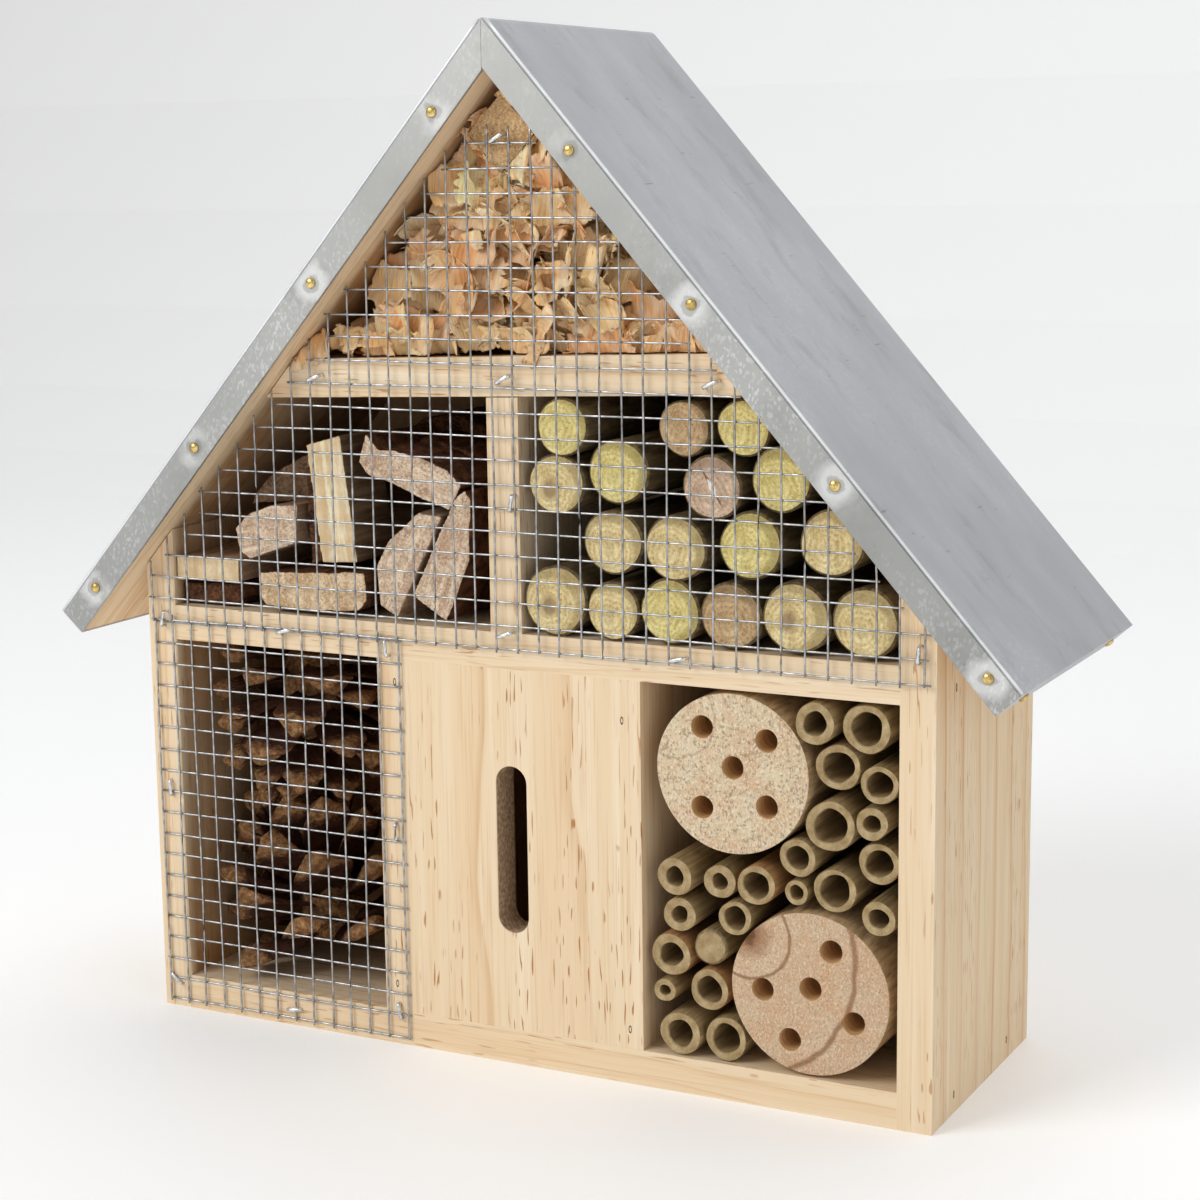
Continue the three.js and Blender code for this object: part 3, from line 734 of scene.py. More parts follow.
def add_staples():
    """Bent wire pins with flattened crowns."""
    steel = small_metal(
        "staple_steel", 900, (0.32, (0.45, 0.46, 0.47)), (0.68, (0.93, 0.94, 0.95)), (0.4, 0.25),
        Metallic=0.95,
    )
    shape = bmesh.new()
    for x, z, angle in STAPLES:
        turn = Matrix.Rotation(math.radians(-angle), 3, "Y")
        middle = Vector((x * MM, BODY_FRONT, z * MM))
        proud = UPPER_PROUD if z > STAPLE_SPLIT else LOWER_PROUD
        corner, soft = STAPLE_BEND, STAPLE_BEND * 0.3
        flat = [(-STAPLE_HALF, STAPLE_LEG), (-STAPLE_HALF, corner - proud),
                (soft - STAPLE_HALF, soft - proud), (corner - STAPLE_HALF, -proud)]
        flat += [(-u, v) for u, v in reversed(flat)]
        points = [middle + turn @ Vector((u, v, 0)) for u, v in flat]
        first = len(shape.verts)
        sweep(shape, points, [STAPLE_RADIUS] * len(points), 8)
        shape.verts.ensure_lookup_table()
        upward = turn @ Vector((0, 0, 1))
        for vert in shape.verts[first:]:
            vert.co += upward * (vert.co - middle).dot(upward) * 0.45
    dress(finish_mesh("mesh_staples", shape, [steel], True), "mesh_wire")


# ---- Round fillings ----------------------------------------------


def wobbly(chance, radius, amount):
    """A not quite round outline: gives the radius at an angle, never over the given one."""
    phases = [(n, amount / n, chance.uniform(0, 2 * math.pi)) for n in (2, 3, 5)]
    most = 1 + sum(size for _, size, _ in phases)

    def at(angle):
        return radius * (1 + sum(size * math.cos(n * angle + p) for n, size, p in phases)) / most

    return at


def skin_rings(shape, outline, stations, sides):
    """Rings of points round the Y axis: one for each (y, share of the outline's radius)."""
    rings = []
    for y, share in stations:
        ring = []
        for angle in angles(sides):
            radius = outline(angle) * share
            ring.append(shape.verts.new((radius * math.cos(angle), y, radius * math.sin(angle))))
        rings.append(ring)
    return rings


def bore_wall(name, scale, detail, dark, light):
    look = Surface(name, Specular_IOR_Level=0.15)
    rough = look.streaks(look.place, scale, detail)
    look.bump(rough, 0.4, 0.0003)
    return look.finish(look.ramp(rough, (0.3, dark), (0.7, light)), 0.85)


def bamboo_looks():
    """Skin tones from olive to straw, the pale fibrous cut end, and the brown bore."""
    skins = []
    for name, dark, light in (
        ("olive", (0.12, 0.078, 0.032), (0.34, 0.245, 0.11)),
        ("straw", (0.19, 0.12, 0.048), (0.44, 0.31, 0.15)),
        ("ruddy", (0.22, 0.10, 0.04), (0.46, 0.25, 0.10)),
    ):
        look = Surface("bamboo_skin_" + name, Specular_IOR_Level=0.4)
        streak = look.streaks(look.place, (900, 18, 900), 3)
        blotch = look.streaks(look.place, (160, 60, 160), 4, 0.6)
        colour = look.ramp(streak, (0.3, dark), (0.7, light))
        colour = look.tint(colour, blotch, 0.5, 0.72, 0.75, shade(dark, 0.45))
        look.bump(streak, 0.4, 0.0003)
        skins.append(look.finish(colour, look.spread(blotch, 0.3, 0.7, 0.45, 0.75)))
    look = Surface("bamboo_cut", Specular_IOR_Level=0.2)
    dots = look.cells(look.place, 2100)
    patch = look.noise(look.place, 330, 3)
    colour = look.ramp(patch, (0.3, (0.29, 0.195, 0.085)), (0.72, (0.52, 0.40, 0.225)))
    colour = look.tint(colour, dots, 0.27, 0.1, 0.8, (0.17, 0.11, 0.045))
    look.bump(dots, 0.5, 0.0003)
    cut = look.finish(colour, 0.85)
    bore = bore_wall("bamboo_bore", (500, 50, 500), 3, (0.13, 0.08, 0.035), (0.36, 0.25, 0.12))
    return skins, cut, bore


BORES = (7.0, 9.4, 9.1, 7.6, 10.0, 5.1, 6.9, 8.0, 5.8, 4.9, 7.9, 4.3, 9.2, 5.8, 5.2, 6.9, 7.3, 0,
         3.4, 7.9, 8.0, 8.8)
RUDDY_CANES = (11, 17, 20)


def add_bamboo():
    skins, cut, bore_look = bamboo_looks()
    for number, bore in enumerate(BORES, 1):
        node = f"bamboo_{number:02d}"
        place, radius = front_of(node)
        chance = random.Random(100 + number)
        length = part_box(node)[1][1] - place[1]
        shape = bmesh.new()
        outer = wobbly(chance, radius, 0.045)
        ring_at = chance.uniform(0.2, 0.8) * length
        stations = [(0.0, 0.965), (0.35 * MM, 1.0)]
        stations += [(length * step / 6, chance.uniform(0.965, 1.0)) for step in range(1, 6)]
        stations += [(ring_at - 1.6 * MM, 0.975), (ring_at, 1.0), (ring_at + 1.2 * MM, 0.96)]
        stations = sorted(stations) + [(length, 0.98)]
        sides = 30
        rings = skin_rings(shape, outer, stations, sides)
        skin = [0] * (len(rings) - 1)
        if bore:
            inner = wobbly(chance, bore / 2 * MM, 0.09)
            rings += skin_rings(shape, inner, [(length, 1), (0.5 * MM, 0.98), (0.0, 1.03)], sides)
            join_rings(shape, rings, skin + [1, 2, 1, 1], closed=True)
        else:
            dome = skin_rings(shape, outer, [(-1.0 * MM, 0.3), (-0.8 * MM, 0.62), (-0.35 * MM, 0.86)], sides)
            join_rings(shape, dome + rings, [1, 1, 0] + skin)
            shape.faces.new(dome[0][::-1]).material_index = 1
            shape.faces.new(rings[-1]).material_index = 1
        tone = 2 if number in RUDDY_CANES else number % 2
        materials = [skins[tone], cut, bore_look]
        cane = finish_mesh(f"bamboo_cane_{number:02d}", shape, materials, True, place)
        mark_sharp(cane, 50)
        dress(cane, "bamboo_cane", node)


def wear_down(piece, label, size, strength, level):
    """Roughens a piece by a seeded cloud of the given feature size."""
    cloud = bpy.data.textures.new(f"{piece.name}_{label}", "CLOUDS")
    cloud.noise_scale = size
    wear = piece.modifiers.new(label, "DISPLACE")
    wear.texture = cloud
    wear.strength = strength
    wear.mid_level = level
    wear.texture_coords = "LOCAL"


def mark_sharp(piece, degrees):
    """Edges steeper than this stay crisp under smooth shading."""
    shape = bmesh.new()
    shape.from_mesh(piece.data)
    for edge in shape.edges:
        if len(edge.link_faces) == 2 and edge.calc_face_angle() > math.radians(degrees):
            edge.smooth = False
    shape.to_mesh(piece.data)
    shape.free()


# Sawn branch ends: the wood's rim and heart colours.
STICK_TONES = {
    "yellow": ((0.69, 0.53, 0.17), (0.95, 0.82, 0.38)),
    "pale": ((0.71, 0.51, 0.22), (0.96, 0.79, 0.44)),
    "brown": ((0.47, 0.29, 0.14), (0.73, 0.53, 0.30)),
    "pink": ((0.57, 0.38, 0.25), (0.82, 0.62, 0.45)),
}


def stick_end(name, rim, heart, star=0.0, dark_heart=0.0):
    """End grain: fine rings, coarse saw marks, a small pith and sometimes a star crack."""
    look = Surface("stick_end_" + name, Specular_IOR_Level=0.15)
    flat = look.mapped(look.place, (1, 0, 1))
    reach = look.length(look.swayed(flat, look.place, 180, 2, 0.003))
    rings = look.maths("SINE", look.times(reach, 4200.0))
    speck = look.noise(look.place, 1300, 3, 0.75)
    saw = look.streaks(look.place, (1900, 1, 170), 2, turn=(0, 38, 0))
    patch = look.noise(look.place, 230, 3)
    colour = look.mix(look.spread(patch, 0.3, 0.7), rim, heart)
    colour = look.tint(colour, rings, -1, 1, 0.35, shade(rim, 0.55))
    colour = look.tint(colour, speck, 0.54, 0.68, 0.6, shade(rim, 0.40))
    colour = look.tint(colour, speck, 0.46, 0.34, 0.6, shade(heart, 1.25))
    colour = look.tint(colour, saw, 0.5, 0.75, 0.3, shade(heart, 1.2))
    colour = look.tint(colour, reach, 0.0013, 0.0005, 0.8, shade(rim, 0.3))
    colour = look.tint(colour, reach, 0.0068, 0.0084, 0.6, shade(rim, 0.45))
    if dark_heart:
        colour = look.tint(colour, reach, 0.0034, 0.0022, dark_heart, (0.36, 0.235, 0.125))
    if star:
        x, _, z = look.axes(look.place)
        slim = look.maths("ABSOLUTE", x)
        tall = look.maths("ABSOLUTE", z)
        split = look.plus(look.times(slim, 1500.0), look.times(tall, 130.0))
        colour = look.tint(colour, split, 1.0, 0.7, 0.8, (0.12, 0.06, 0.03))
        split = look.plus(look.times(slim, 1000.0), look.times(tall, 330.0))
        colour = look.tint(colour, split, 1.0, 0.8, star, (0.90, 0.86, 0.78))
    look.bump(look.plus(speck, saw), 0.8, 0.0004)
    return look.finish(colour, 0.9)


def bark_look(name, dark, light):
    look = Surface(name, Specular_IOR_Level=0.2)
    ridges = look.streaks(look.place, (420, 60, 420), 5, 0.65)
    colour = look.ramp(ridges, (0.32, dark), (0.68, light))
    look.bump(ridges, 0.7, 0.0012)
    return look.finish(colour, look.spread(ridges, 0.3, 0.7, 0.9, 0.7))


# Sticks that share a CAD node with their row: x, z and diameter in mm.
SECOND_ROW = ((30.8, 147.8, 16.6), (48.8, 147.2, 16.9), (69.9, 149.1, 17), (92, 151.1, 16.8))
BOTTOM_ROW = (
    (13.6, 131.2, 18.4), (30.6, 129.6, 15), (47.2, 130.6, 16.8), (64.4, 130.6, 16.8),
    (82.4, 131.4, 18), (101, 131.4, 17.4),
)
STICK_COLOURS = ("yellow", "hearted", "yellow", "brown", "yellow", "split", "yellow", "pale", "pale",
                 "yellow", "pale", "hearted", "pale", "yellow", "brown", "hearted", "pale")


def add_sticks():
    ends = {name: stick_end(name, *tones) for name, tones in STICK_TONES.items()}
    ends["split"] = stick_end("split", *STICK_TONES["pink"], star=0.9)
    ends["hearted"] = stick_end("hearted", *STICK_TONES["pale"], dark_heart=0.8)
    bark = bark_look("stick_bark", (0.05, 0.035, 0.018), (0.24, 0.17, 0.08))
    places = []
    for number in range(1, 8):
        places.append((f"stick_{number:02d}", *front_of(f"stick_{number:02d}")))
    for node, row in (("stick_row_second", SECOND_ROW), ("stick_row_bottom", BOTTOM_ROW)):
        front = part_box(node)[0][1]
        for x, z, diameter in row:
            places.append((node, (x * MM, front, z * MM), diameter / 2 * MM))
    for number, (node, place, radius) in enumerate(places, 1):
        chance = random.Random(300 + number)
        sides = 40
        outline = wobbly(chance, radius * (1.2 if number == 1 else 1.07), 0.035)
        shape = bmesh.new()
        face_rings = skin_rings(
            shape, outline,
            [(0.15 * MM, 0.18), (0.08 * MM, 0.45), (0.1 * MM, 0.75), (0.12 * MM, 0.93), (0.7 * MM, 1.0)],
            sides,
        )
        for ring in face_rings[:4]:
            for point in ring:
                point.co.y += chance.uniform(-0.1, 0.1) * MM
        body = skin_rings(
            shape, outline, [(y * MM, chance.uniform(0.955, 1.0)) for y in (12, 30, 48, 72)], sides
        )
        rings = face_rings + body
        join_rings(shape, rings, [1, 1, 1, 0, 0, 0, 0, 0])
        shape.faces.new(face_rings[0][::-1]).material_index = 1
        shape.faces.new(body[-1]).material_index = 1
        look = ends[STICK_COLOURS[number - 1]]
        stick = finish_mesh(f"branch_stick_{number:02d}", shape, [bark, look], True, place)
        mark_sharp(stick, 40)
        stick.rotation_euler = (0, chance.uniform(-0.6, 0.6), 0)
        dress(stick, "branch_wood", node)


LOG_HOLES = {
    "log_disc_upper": ((55.9, 100.8), (74.1, 98.7), (64.6, 90.7), (55.9, 79.3), (74.2, 81.2)),
    "log_disc_lower": ((92.1, 44.8), (73, 32), (86.4, 34), (98.4, 26.4), (80.7, 19.4)),
}
LOG_HOLE_RADIUS = 3.1 * MM


def log_face(name, pale, warm, grit, torn, arcs=(), knot=None):
    """Sawn end grain: dense speckle of torn fibres, a few growth rings and a knot."""
    look = Surface(name, Specular_IOR_Level=0.15)
    speck = look.noise(look.place, grit, 3, 0.65)
    fine = look.streaks(look.place, (1900, 1900, 1050), 2, 0.6)
    tint = look.noise(look.place, 105, 4, 0.6)
    wobble = look.times(look.noise(look.place, 90, 3), 0.0035)
    colour = look.mix(look.spread(tint, 0.38, 0.62), pale, warm)
    colour = look.tint(colour, speck, 0.52, 0.62, torn, shade(warm, 0.45))
    colour = look.tint(colour, fine, 0.52, 0.62, 0.9 * torn, (0.97, 0.88, 0.70))
    for (x, z), radius, width, amount in arcs:
        ring = look.plus(look.reach(look.place, (x * MM, 0, z * MM), (1, 0, 1)), wobble)
        off = look.maths("ABSOLUTE", look.minus(ring, radius * MM + 0.00175))
        colour = look.tint(colour, off, width * MM, 0.3 * width * MM, amount, (0.31, 0.145, 0.065))
    if knot:
        near = look.reach(look.place, (knot[0] * MM, 0, knot[1] * MM), (1, 0, 1))
        near = look.plus(near, look.times(look.noise(look.place, 420, 3), 0.004))
        colour = look.tint(colour, near, 0.0094, 0.0048, 0.8, (0.33, 0.14, 0.06))
        colour = look.tint(colour, near, 0.0046, 0.0034, 0.75, (0.12, 0.045, 0.02))
    look.bump(look.plus(speck, fine), 1.0, 0.0008)
    return look.finish(colour, 0.92)


def add_logs():
    bark = bark_look("log_side", (0.22, 0.13, 0.06), (0.60, 0.42, 0.22))
    hole_wall = bore_wall("drilled_wall", (300, 2600, 300), 2, (0.42, 0.22, 0.09), (0.66, 0.42, 0.20))
    faces = {
        "log_disc_upper": log_face(
            "log_face_pale", (0.83, 0.69, 0.47), (0.76, 0.53, 0.33), 1150, 0.7,
            (((-16, 14), 11, 0.5, 0.3),)),
        "log_disc_lower": log_face(
            "log_face_pink", (0.76, 0.56, 0.37), (0.74, 0.48, 0.29), 1600, 0.45,
            (((-21.1, 8.4), 33.6, 1.1, 0.75), ((-17, 13.5), 11.3, 0.7, 0.75), ((-40, -12), 19, 0.6, 0.7)),
            (-17, 13.5)),
    }
    for node, holes in LOG_HOLES.items():
        low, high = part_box(node)
        centre = middle_of(node)
        rounding = 0.25 * MM
        curve = bpy.data.curves.new(node, "CURVE")
        curve.dimensions = "2D"
        curve.fill_mode = "BOTH"
        curve.extrude = (high[1] - low[1]) / 2 - rounding
        curve.bevel_depth = rounding
        curve.bevel_resolution = 1
        curve.offset = -rounding
        outline = wobbly(random.Random(len(node)), (high[2] - low[2]) / 2, 0.008)
        rims = [((0, 0), outline, 120)]
        for x, z in holes:
            rim = wobbly(random.Random(int(x * 10)), LOG_HOLE_RADIUS, 0.02)
            rims.append(((x * MM - centre.x, z * MM - centre.z), rim, 36))
        for (x, z), radius_at, count in rims:
            spline = curve.splines.new("POLY")
            spline.points.add(count - 1)
            spline.use_cyclic_u = True
            for angle, point in zip(angles(count), spline.points):
                radius = radius_at(angle)
                point.co = (x + radius * math.cos(angle), z + radius * math.sin(angle), 0, 1)
        drawn = bpy.data.objects.new(node + "_outline", curve)
        bpy.context.collection.objects.link(drawn)
        bpy.context.view_layer.update()
        solid = drawn.evaluated_get(bpy.context.evaluated_depsgraph_get())
        mesh = bpy.data.meshes.new_from_object(solid)
        bpy.data.objects.remove(drawn)
        shape = bmesh.new()
        shape.from_mesh(mesh)
        bpy.data.meshes.remove(mesh)
        bmesh.ops.remove_doubles(shape, verts=shape.verts, dist=1e-6)
        bmesh.ops.rotate(shape, verts=shape.verts, matrix=Matrix.Rotation(math.radians(90), 3, "X"))
        for face in shape.faces:
            middle = face.calc_center_median()
            from_axis = math.hypot(middle.x, middle.z)
            flat_end = abs(face.normal.y) > 0.6
            face.material_index = 0 if flat_end else 1 if from_axis > 20.5 * MM else 2
        name = node.replace("disc", "slice")
        log = finish_mesh(name, shape, [faces[node], bark, hole_wall], True, centre)
        mark_sharp(log, 30)
        dress(log, "log_end_grain", node)


# ---- Shavings ----------------------------------------------------

SHELF_TILT = math.radians(1.9)
SHELF_TOP_MIDDLE = 195.56 * MM
BATTEN_LOW, BATTEN_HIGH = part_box("ridge_batten")
BATTEN_Z = (BATTEN_LOW[2] + BATTEN_HIGH[2]) / 2
BATTEN_REACH = (BATTEN_HIGH[2] - BATTEN_LOW[2]) / 2


def shelf_top(x):
    return SHELF_TOP_MIDDLE + x * math.tan(SHELF_TILT)


def keep_in_gable(point, spill):
    """Moves a point of a shaving back into the space over the tilted shelf."""
    margin = 0.5 * MM
    front = BODY_FRONT + margin * 0.6
    floor = shelf_top(point.x) + margin
    if not spill:
        point.y = max(point.y, front)
        point.z = max(point.z, floor)
    elif point.z < floor:
        point.y = BODY_FRONT - 0.35 * MM
    room = under_roof(point.x, margin)
    if point.z > room:
        point.z = max(floor, room)
        limit = (under_roof(0, margin) - point.z) / math.tan(PITCH)
        point.x = max(-limit, min(limit, point.x))
    inside = BATTEN_REACH + margin - abs(point.x) - abs(point.z - BATTEN_Z)
    if inside > 0 and point.z < BATTEN_Z:
        point.z -= inside
    elif inside > 0:
        point.x += math.copysign(inside, point.x)


def shaving(shape, tint_layer, uv_layer, chance, centre, size, turn, tint, spill):
    """A thin curled flake: long sides torn a little, short ends frayed, tinted as a whole."""
    length, width, curl = size
    along, across = 15, 11
    frays = [[chance.uniform(0, 0.07) + (0.10 if chance.random() < 0.35 else 0) for _ in range(across + 1)]
             for _ in range(2)]
    if chance.random() < 0.5:
        frays[chance.randrange(2)] = [0.02] * (across + 1)
    sides = [[chance.uniform(-0.09, 0.07) for _ in range(along + 1)] for _ in range(2)]
    tighten = chance.uniform(-0.4, 0.9)
    cup = chance.uniform(-0.2, 0.2)
    skew = chance.uniform(-0.25, 0.25)
    ripple = chance.uniform(0.25, 0.9) * MM
    phase = chance.uniform(0, 6)
    grid = []
    for i in range(along + 1):
        row = []
        for j in range(across + 1):
            u = i / along - 0.5
            v = j / across - 0.5
            end = frays[0 if u < 0 else 1][j]
            u -= math.copysign(end * abs(2 * u) ** 4, u)
            bend = u * length / curl * (1 + tighten * u)
            side = v * width * (1 - 0.22 * abs(2 * u) ** 3)
            side += sides[0 if v < 0 else 1][i] * width * abs(2 * v)
            local = Vector((
                curl * math.sin(bend),
                side + skew * u * length,
                curl * (1 - math.cos(bend)) + cup * side * side / width * 2
                + ripple * math.sin(u * 17 + v * 5 + phase),
            ))
            point = centre + turn @ local
            keep_in_gable(point, spill)
            row.append((shape.verts.new(point), (u * length * 20, v * width * 20)))
        grid.append(row)
    for i in range(along):
        for j in range(across):
            corners = (grid[i][j], grid[i + 1][j], grid[i + 1][j + 1], grid[i][j + 1])
            face = shape.faces.new([vert for vert, _ in corners])
            for loop, (_, uv) in zip(face.loops, corners):
                loop[uv_layer].uv = uv
                loop[tint_layer] = (*tint, 1)


def leant(chance, *turns):
    """A rotation of chance turns: the mean, the spread and the axis of each, in radians."""
    whole = Matrix.Identity(3)
    for mean, spread, axis in turns:
        whole = whole @ Matrix.Rotation(chance.gauss(mean, spread), 3, axis)
    return whole


def shavings_look():
    look = Surface("curled_shavings", Specular_IOR_Level=0.2)
    tint = look.node("ShaderNodeVertexColor", layer_name="tint").outputs["Color"]
    flat = look.node("ShaderNodeUVMap", uv_map="grain").outputs[0]
    rays = look.streaks(flat, (75, 4, 1), 4, 0.7)
    broad = look.streaks(flat, (11, 3, 1), 2)
    pits = look.streaks(flat, (60, 22, 1), 2)
    colour = look.mix(look.spread(rays, 0.50, 0.60, 0, 0.8), tint, (0.80, 0.60, 0.41), "MULTIPLY")
    colour = look.tint(colour, broad, 0.40, 0.64, 0.55, (0.97, 0.82, 0.60))
    colour = look.tint(colour, pits, 0.68, 0.74, 0.6, (0.40, 0.20, 0.09))
    look.bump(rays, 1.0, 0.0007)
    return look.finish(colour, look.spread(rays, 0.3, 0.7, 0.55, 0.75))


TINTS = (
    (0.97, 0.83, 0.61), (0.95, 0.76, 0.53), (0.98, 0.85, 0.64), (0.92, 0.68, 0.45), (0.96, 0.80, 0.57)
)
# Layers from the back to the front: how many flakes, their depth behind the mesh, and size in mm.
HEAP = ((40, 28, 20), (56, 20, 22), (72, 12, 24), (78, 5.5, 26))
# Narrow curled strips lying across the heap.
STRIPS = 26
HEAP_HEIGHT = 57 * MM
# Small flakes in a row along the foot of the heap, and how far the row reaches to each side.
FOOT_FLAKES = 15
FOOT_HALF = 78 * MM
# Flakes that hang over the shelf's front edge: x, length, width and lean in degrees.
SPILLS = ((-88, 20, 11, 12), (-75, 17, 12, -6), (-61, 13, 9, 8), (9.5, 19, 4.5, 62))


def add_shavings():
    look = shavings_look()
    chance = random.Random(77)
    shape = bmesh.new()
    tint_layer = shape.loops.layers.color.new("tint")
    uv_layer = shape.loops.layers.uv.new("grain")
    facing = Matrix.Rotation(math.radians(90), 3, "X")

    # Scales a flake's tint: its own tone, and painted shade that darkens the flakes lying deeper in the
    # heap.
    def add_flake(centre, size, turn, tone_and_shade, spill=False):
        tint = shade(chance.choice(TINTS), tone_and_shade)
        shaving(shape, tint_layer, uv_layer, chance, centre, size, turn, tint, spill)

    for layer, (count, depth, longest) in enumerate(HEAP):
        for _ in range(count):
            z = shelf_top(0) + 2 * MM + (chance.random() ** 1.15) * HEAP_HEIGHT
            half = max(3 * MM, (under_roof(0, 4 * MM) - z) / math.tan(PITCH) - 5 * MM)
            x = chance.uniform(-half, half)
            centre = Vector((x, BODY_FRONT + (depth + chance.uniform(-2.5, 3.5)) * MM, z))
            size = (chance.uniform(0.6, 1.05) * longest * MM, chance.uniform(7, 13) * MM,
                    chance.choice((5, 8, 12, 18, 30)) * MM)
            lean = leant(chance, (0, 0.32, "Y"), (0, 0.28, "Z"), (-0.15, 0.38, "X"))
            flip = Matrix.Rotation(math.pi if chance.random() < 0.45 else 0, 3, "X")
            # The random factor is the flake's own tone; the factor by layer is painted shade, darker towards
            # the back.
            tone_and_shade = chance.uniform(0.86, 1.06) * (0.88 + 0.06 * layer)
            add_flake(centre, size, lean @ facing @ flip, tone_and_shade)
    for _ in range(STRIPS):
        z = shelf_top(0) + chance.uniform(6, 50) * MM
        half = max(3 * MM, (under_roof(0, 4 * MM) - z) / math.tan(PITCH) - 12 * MM)
        centre = Vector((chance.uniform(-half, half), BODY_FRONT + chance.uniform(2.5, 7) * MM, z))
        size = (chance.uniform(16, 30) * MM, chance.uniform(3, 5.5) * MM, chance.choice((7, 11, 20)) * MM)
        lean = leant(chance, (0, 0.5, "Y"), (0.5, 0.5, "X"))
        add_flake(centre, size, lean @ facing, 1.04)
    for number in range(FOOT_FLAKES):
        x = FOOT_HALF * (2 * (number + 0.5) / FOOT_FLAKES - 1)
        y = BODY_FRONT + chance.uniform(2.5, 6) * MM
        centre = Vector((x, y, shelf_top(x) + chance.uniform(2.5, 5) * MM))
        size = (chance.uniform(12, 18) * MM, chance.uniform(6, 9) * MM, chance.choice((6, 9, 14)) * MM)
        lean = leant(chance, (0, 0.22, "Y"), (0.1, 0.3, "X"))
        add_flake(centre, size, lean @ facing, 1.05)
    for x, length, width, lean in SPILLS:
        centre = Vector((x * MM, BODY_FRONT + 0.6 * MM, shelf_top(x * MM) + 3.2 * MM))
        turn = Matrix.Rotation(math.radians(-lean), 3, "Y") @ Matrix.Rotation(-0.35, 3, "X") @ facing
        size = (length * MM, width * MM, 34 * MM)
        add_flake(centre, size, turn, 1.0, spill=True)
    piece = finish_mesh("curled_shavings", shape, [look], True)
    thicken = piece.modifiers.new("thickness", "SOLIDIFY")
    thicken.thickness = 0.24 * MM
    thicken.offset = 0
    dress(piece, "wood_shavings", "shavings_heap")


# ---- Pine cones --------------------------------------------------


def cone_looks():
    """Dark red-brown inside the scales, rough tan rind on their exposed tips."""
    look = Surface("cone_scale_wood", Specular_IOR_Level=0.2)
    tip = look.node("ShaderNodeVertexColor", layer_name="tip").outputs["Color"]
    amount = look.node("ShaderNodeSeparateColor", {0: tip}).outputs[0]
    rough = look.noise(look.place, 620, 5, 0.72)
    patch = look.noise(look.place, 150, 3)
    streak = look.noise(look.place, 260, 2)
    wood = look.ramp(streak, (0.3, (0.035, 0.012, 0.006)), (0.75, (0.13, 0.045, 0.02)))
    rind = look.ramp(
        rough, (0.32, (0.09, 0.038, 0.015)), (0.5, (0.33, 0.16, 0.062)), (0.72, (0.70, 0.41, 0.19)))
    rind = look.mix(look.spread(patch, 0.35, 0.6, 0.45, 0), rind, (0.16, 0.08, 0.04))
    worn = look.plus(amount, look.spread(rough, 0.35, 0.65, -0.18, 0.18))
    colour = look.mix(look.spread(worn, 0.25, 0.7), wood, rind)
    look.bump(rough, 1.0, 0.0014)
    return look.finish(colour, 0.88)


# Where a lump sits across and along a scale, and its size: the least and the most of each.
LUMP_REACHES = ((-0.6, 0.6), (0.7, 1.0), (0.15, 0.5))


def cone_scale(shape, layer, base, out, up, length, width, thick, curve, chance):
    """One woody scale: a thin blade that widens to a thick, lumpy, wedge-nosed tip."""
    side = up.cross(out).normalized()
    along, across = 10, 10
    lean = chance.uniform(-0.25, 0.25)
    lumps = [[chance.uniform(*reach) for reach in LUMP_REACHES] for _ in range(4)]
    faces = []
    for above in (1, -1):
        grid = []
        for i in range(along + 1):
            s = i / along
            half = width / 2 * (0.25 + 0.75 * math.sin(math.pi / 2 * min(1, s / 0.8)) ** 1.3)
            if s > 0.8:
                half *= math.sqrt(max(0.02, 1 - ((s - 0.8) / 0.21) ** 2))
            row = []
            for j in range(across + 1):
                v = 2 * j / across - 1
                body = thick * (0.20 + 0.80 * max(0, (s - 0.5) / 0.5) ** 1.2)
                for at_v, at_s, size in lumps:
                    body *= 1 + size * math.exp(-((v - at_v) / 0.4) ** 2 - ((s - at_s) / 0.12) ** 2)
                rise = curve * length * s * s - 0.08 * width * v * v
                edge = max(0.0, 1 - abs(v + lean * (1 - v * v)) ** 2.4)
                nose = math.sqrt(max(0, 1 - max(0, (s - 0.84) / 0.161) ** 2))
                half_thick = above * body * edge * (0.12 + 0.88 * nose) * (0.7 if above > 0 else 0.45)
                push = 0.10 * length * (1 - v * v) * max(0, (s - 0.7) / 0.3)
                point = base + out * (length * s + push) + side * (half * v) + up * (rise + half_thick)
                row.append((shape.verts.new(point), s))
            grid.append(row)
        faces.append(grid)
    top, under = faces

    def patch(corners):
        face = shape.faces.new([vert for vert, _ in corners])
        for loop, (_, s) in zip(face.loops, corners):
            loop[layer] = (min(1, max(0, (s - 0.6) / 0.3)),) * 3 + (1,)

    for grid in (top, under):
        for i in range(along):
            for j in range(across):
                patch((grid[i][j], grid[i + 1][j], grid[i + 1][j + 1], grid[i][j + 1]))
    for i in range(along):
        for j in (0, across):
            patch((top[i][j], top[i + 1][j], under[i + 1][j], under[i][j]))
    for j in range(across):
        for i in (0, along):
            patch((top[i][j], top[i][j + 1], under[i][j + 1], under[i][j]))


GOLDEN_ANGLE = math.radians(137.508)
# The space that the cones share, in mm: left, right, front, back, floor and ceiling.
CONE_ROOM = (-110.1, -42.9, -39.5, 34.5, 10.3, 111.1)


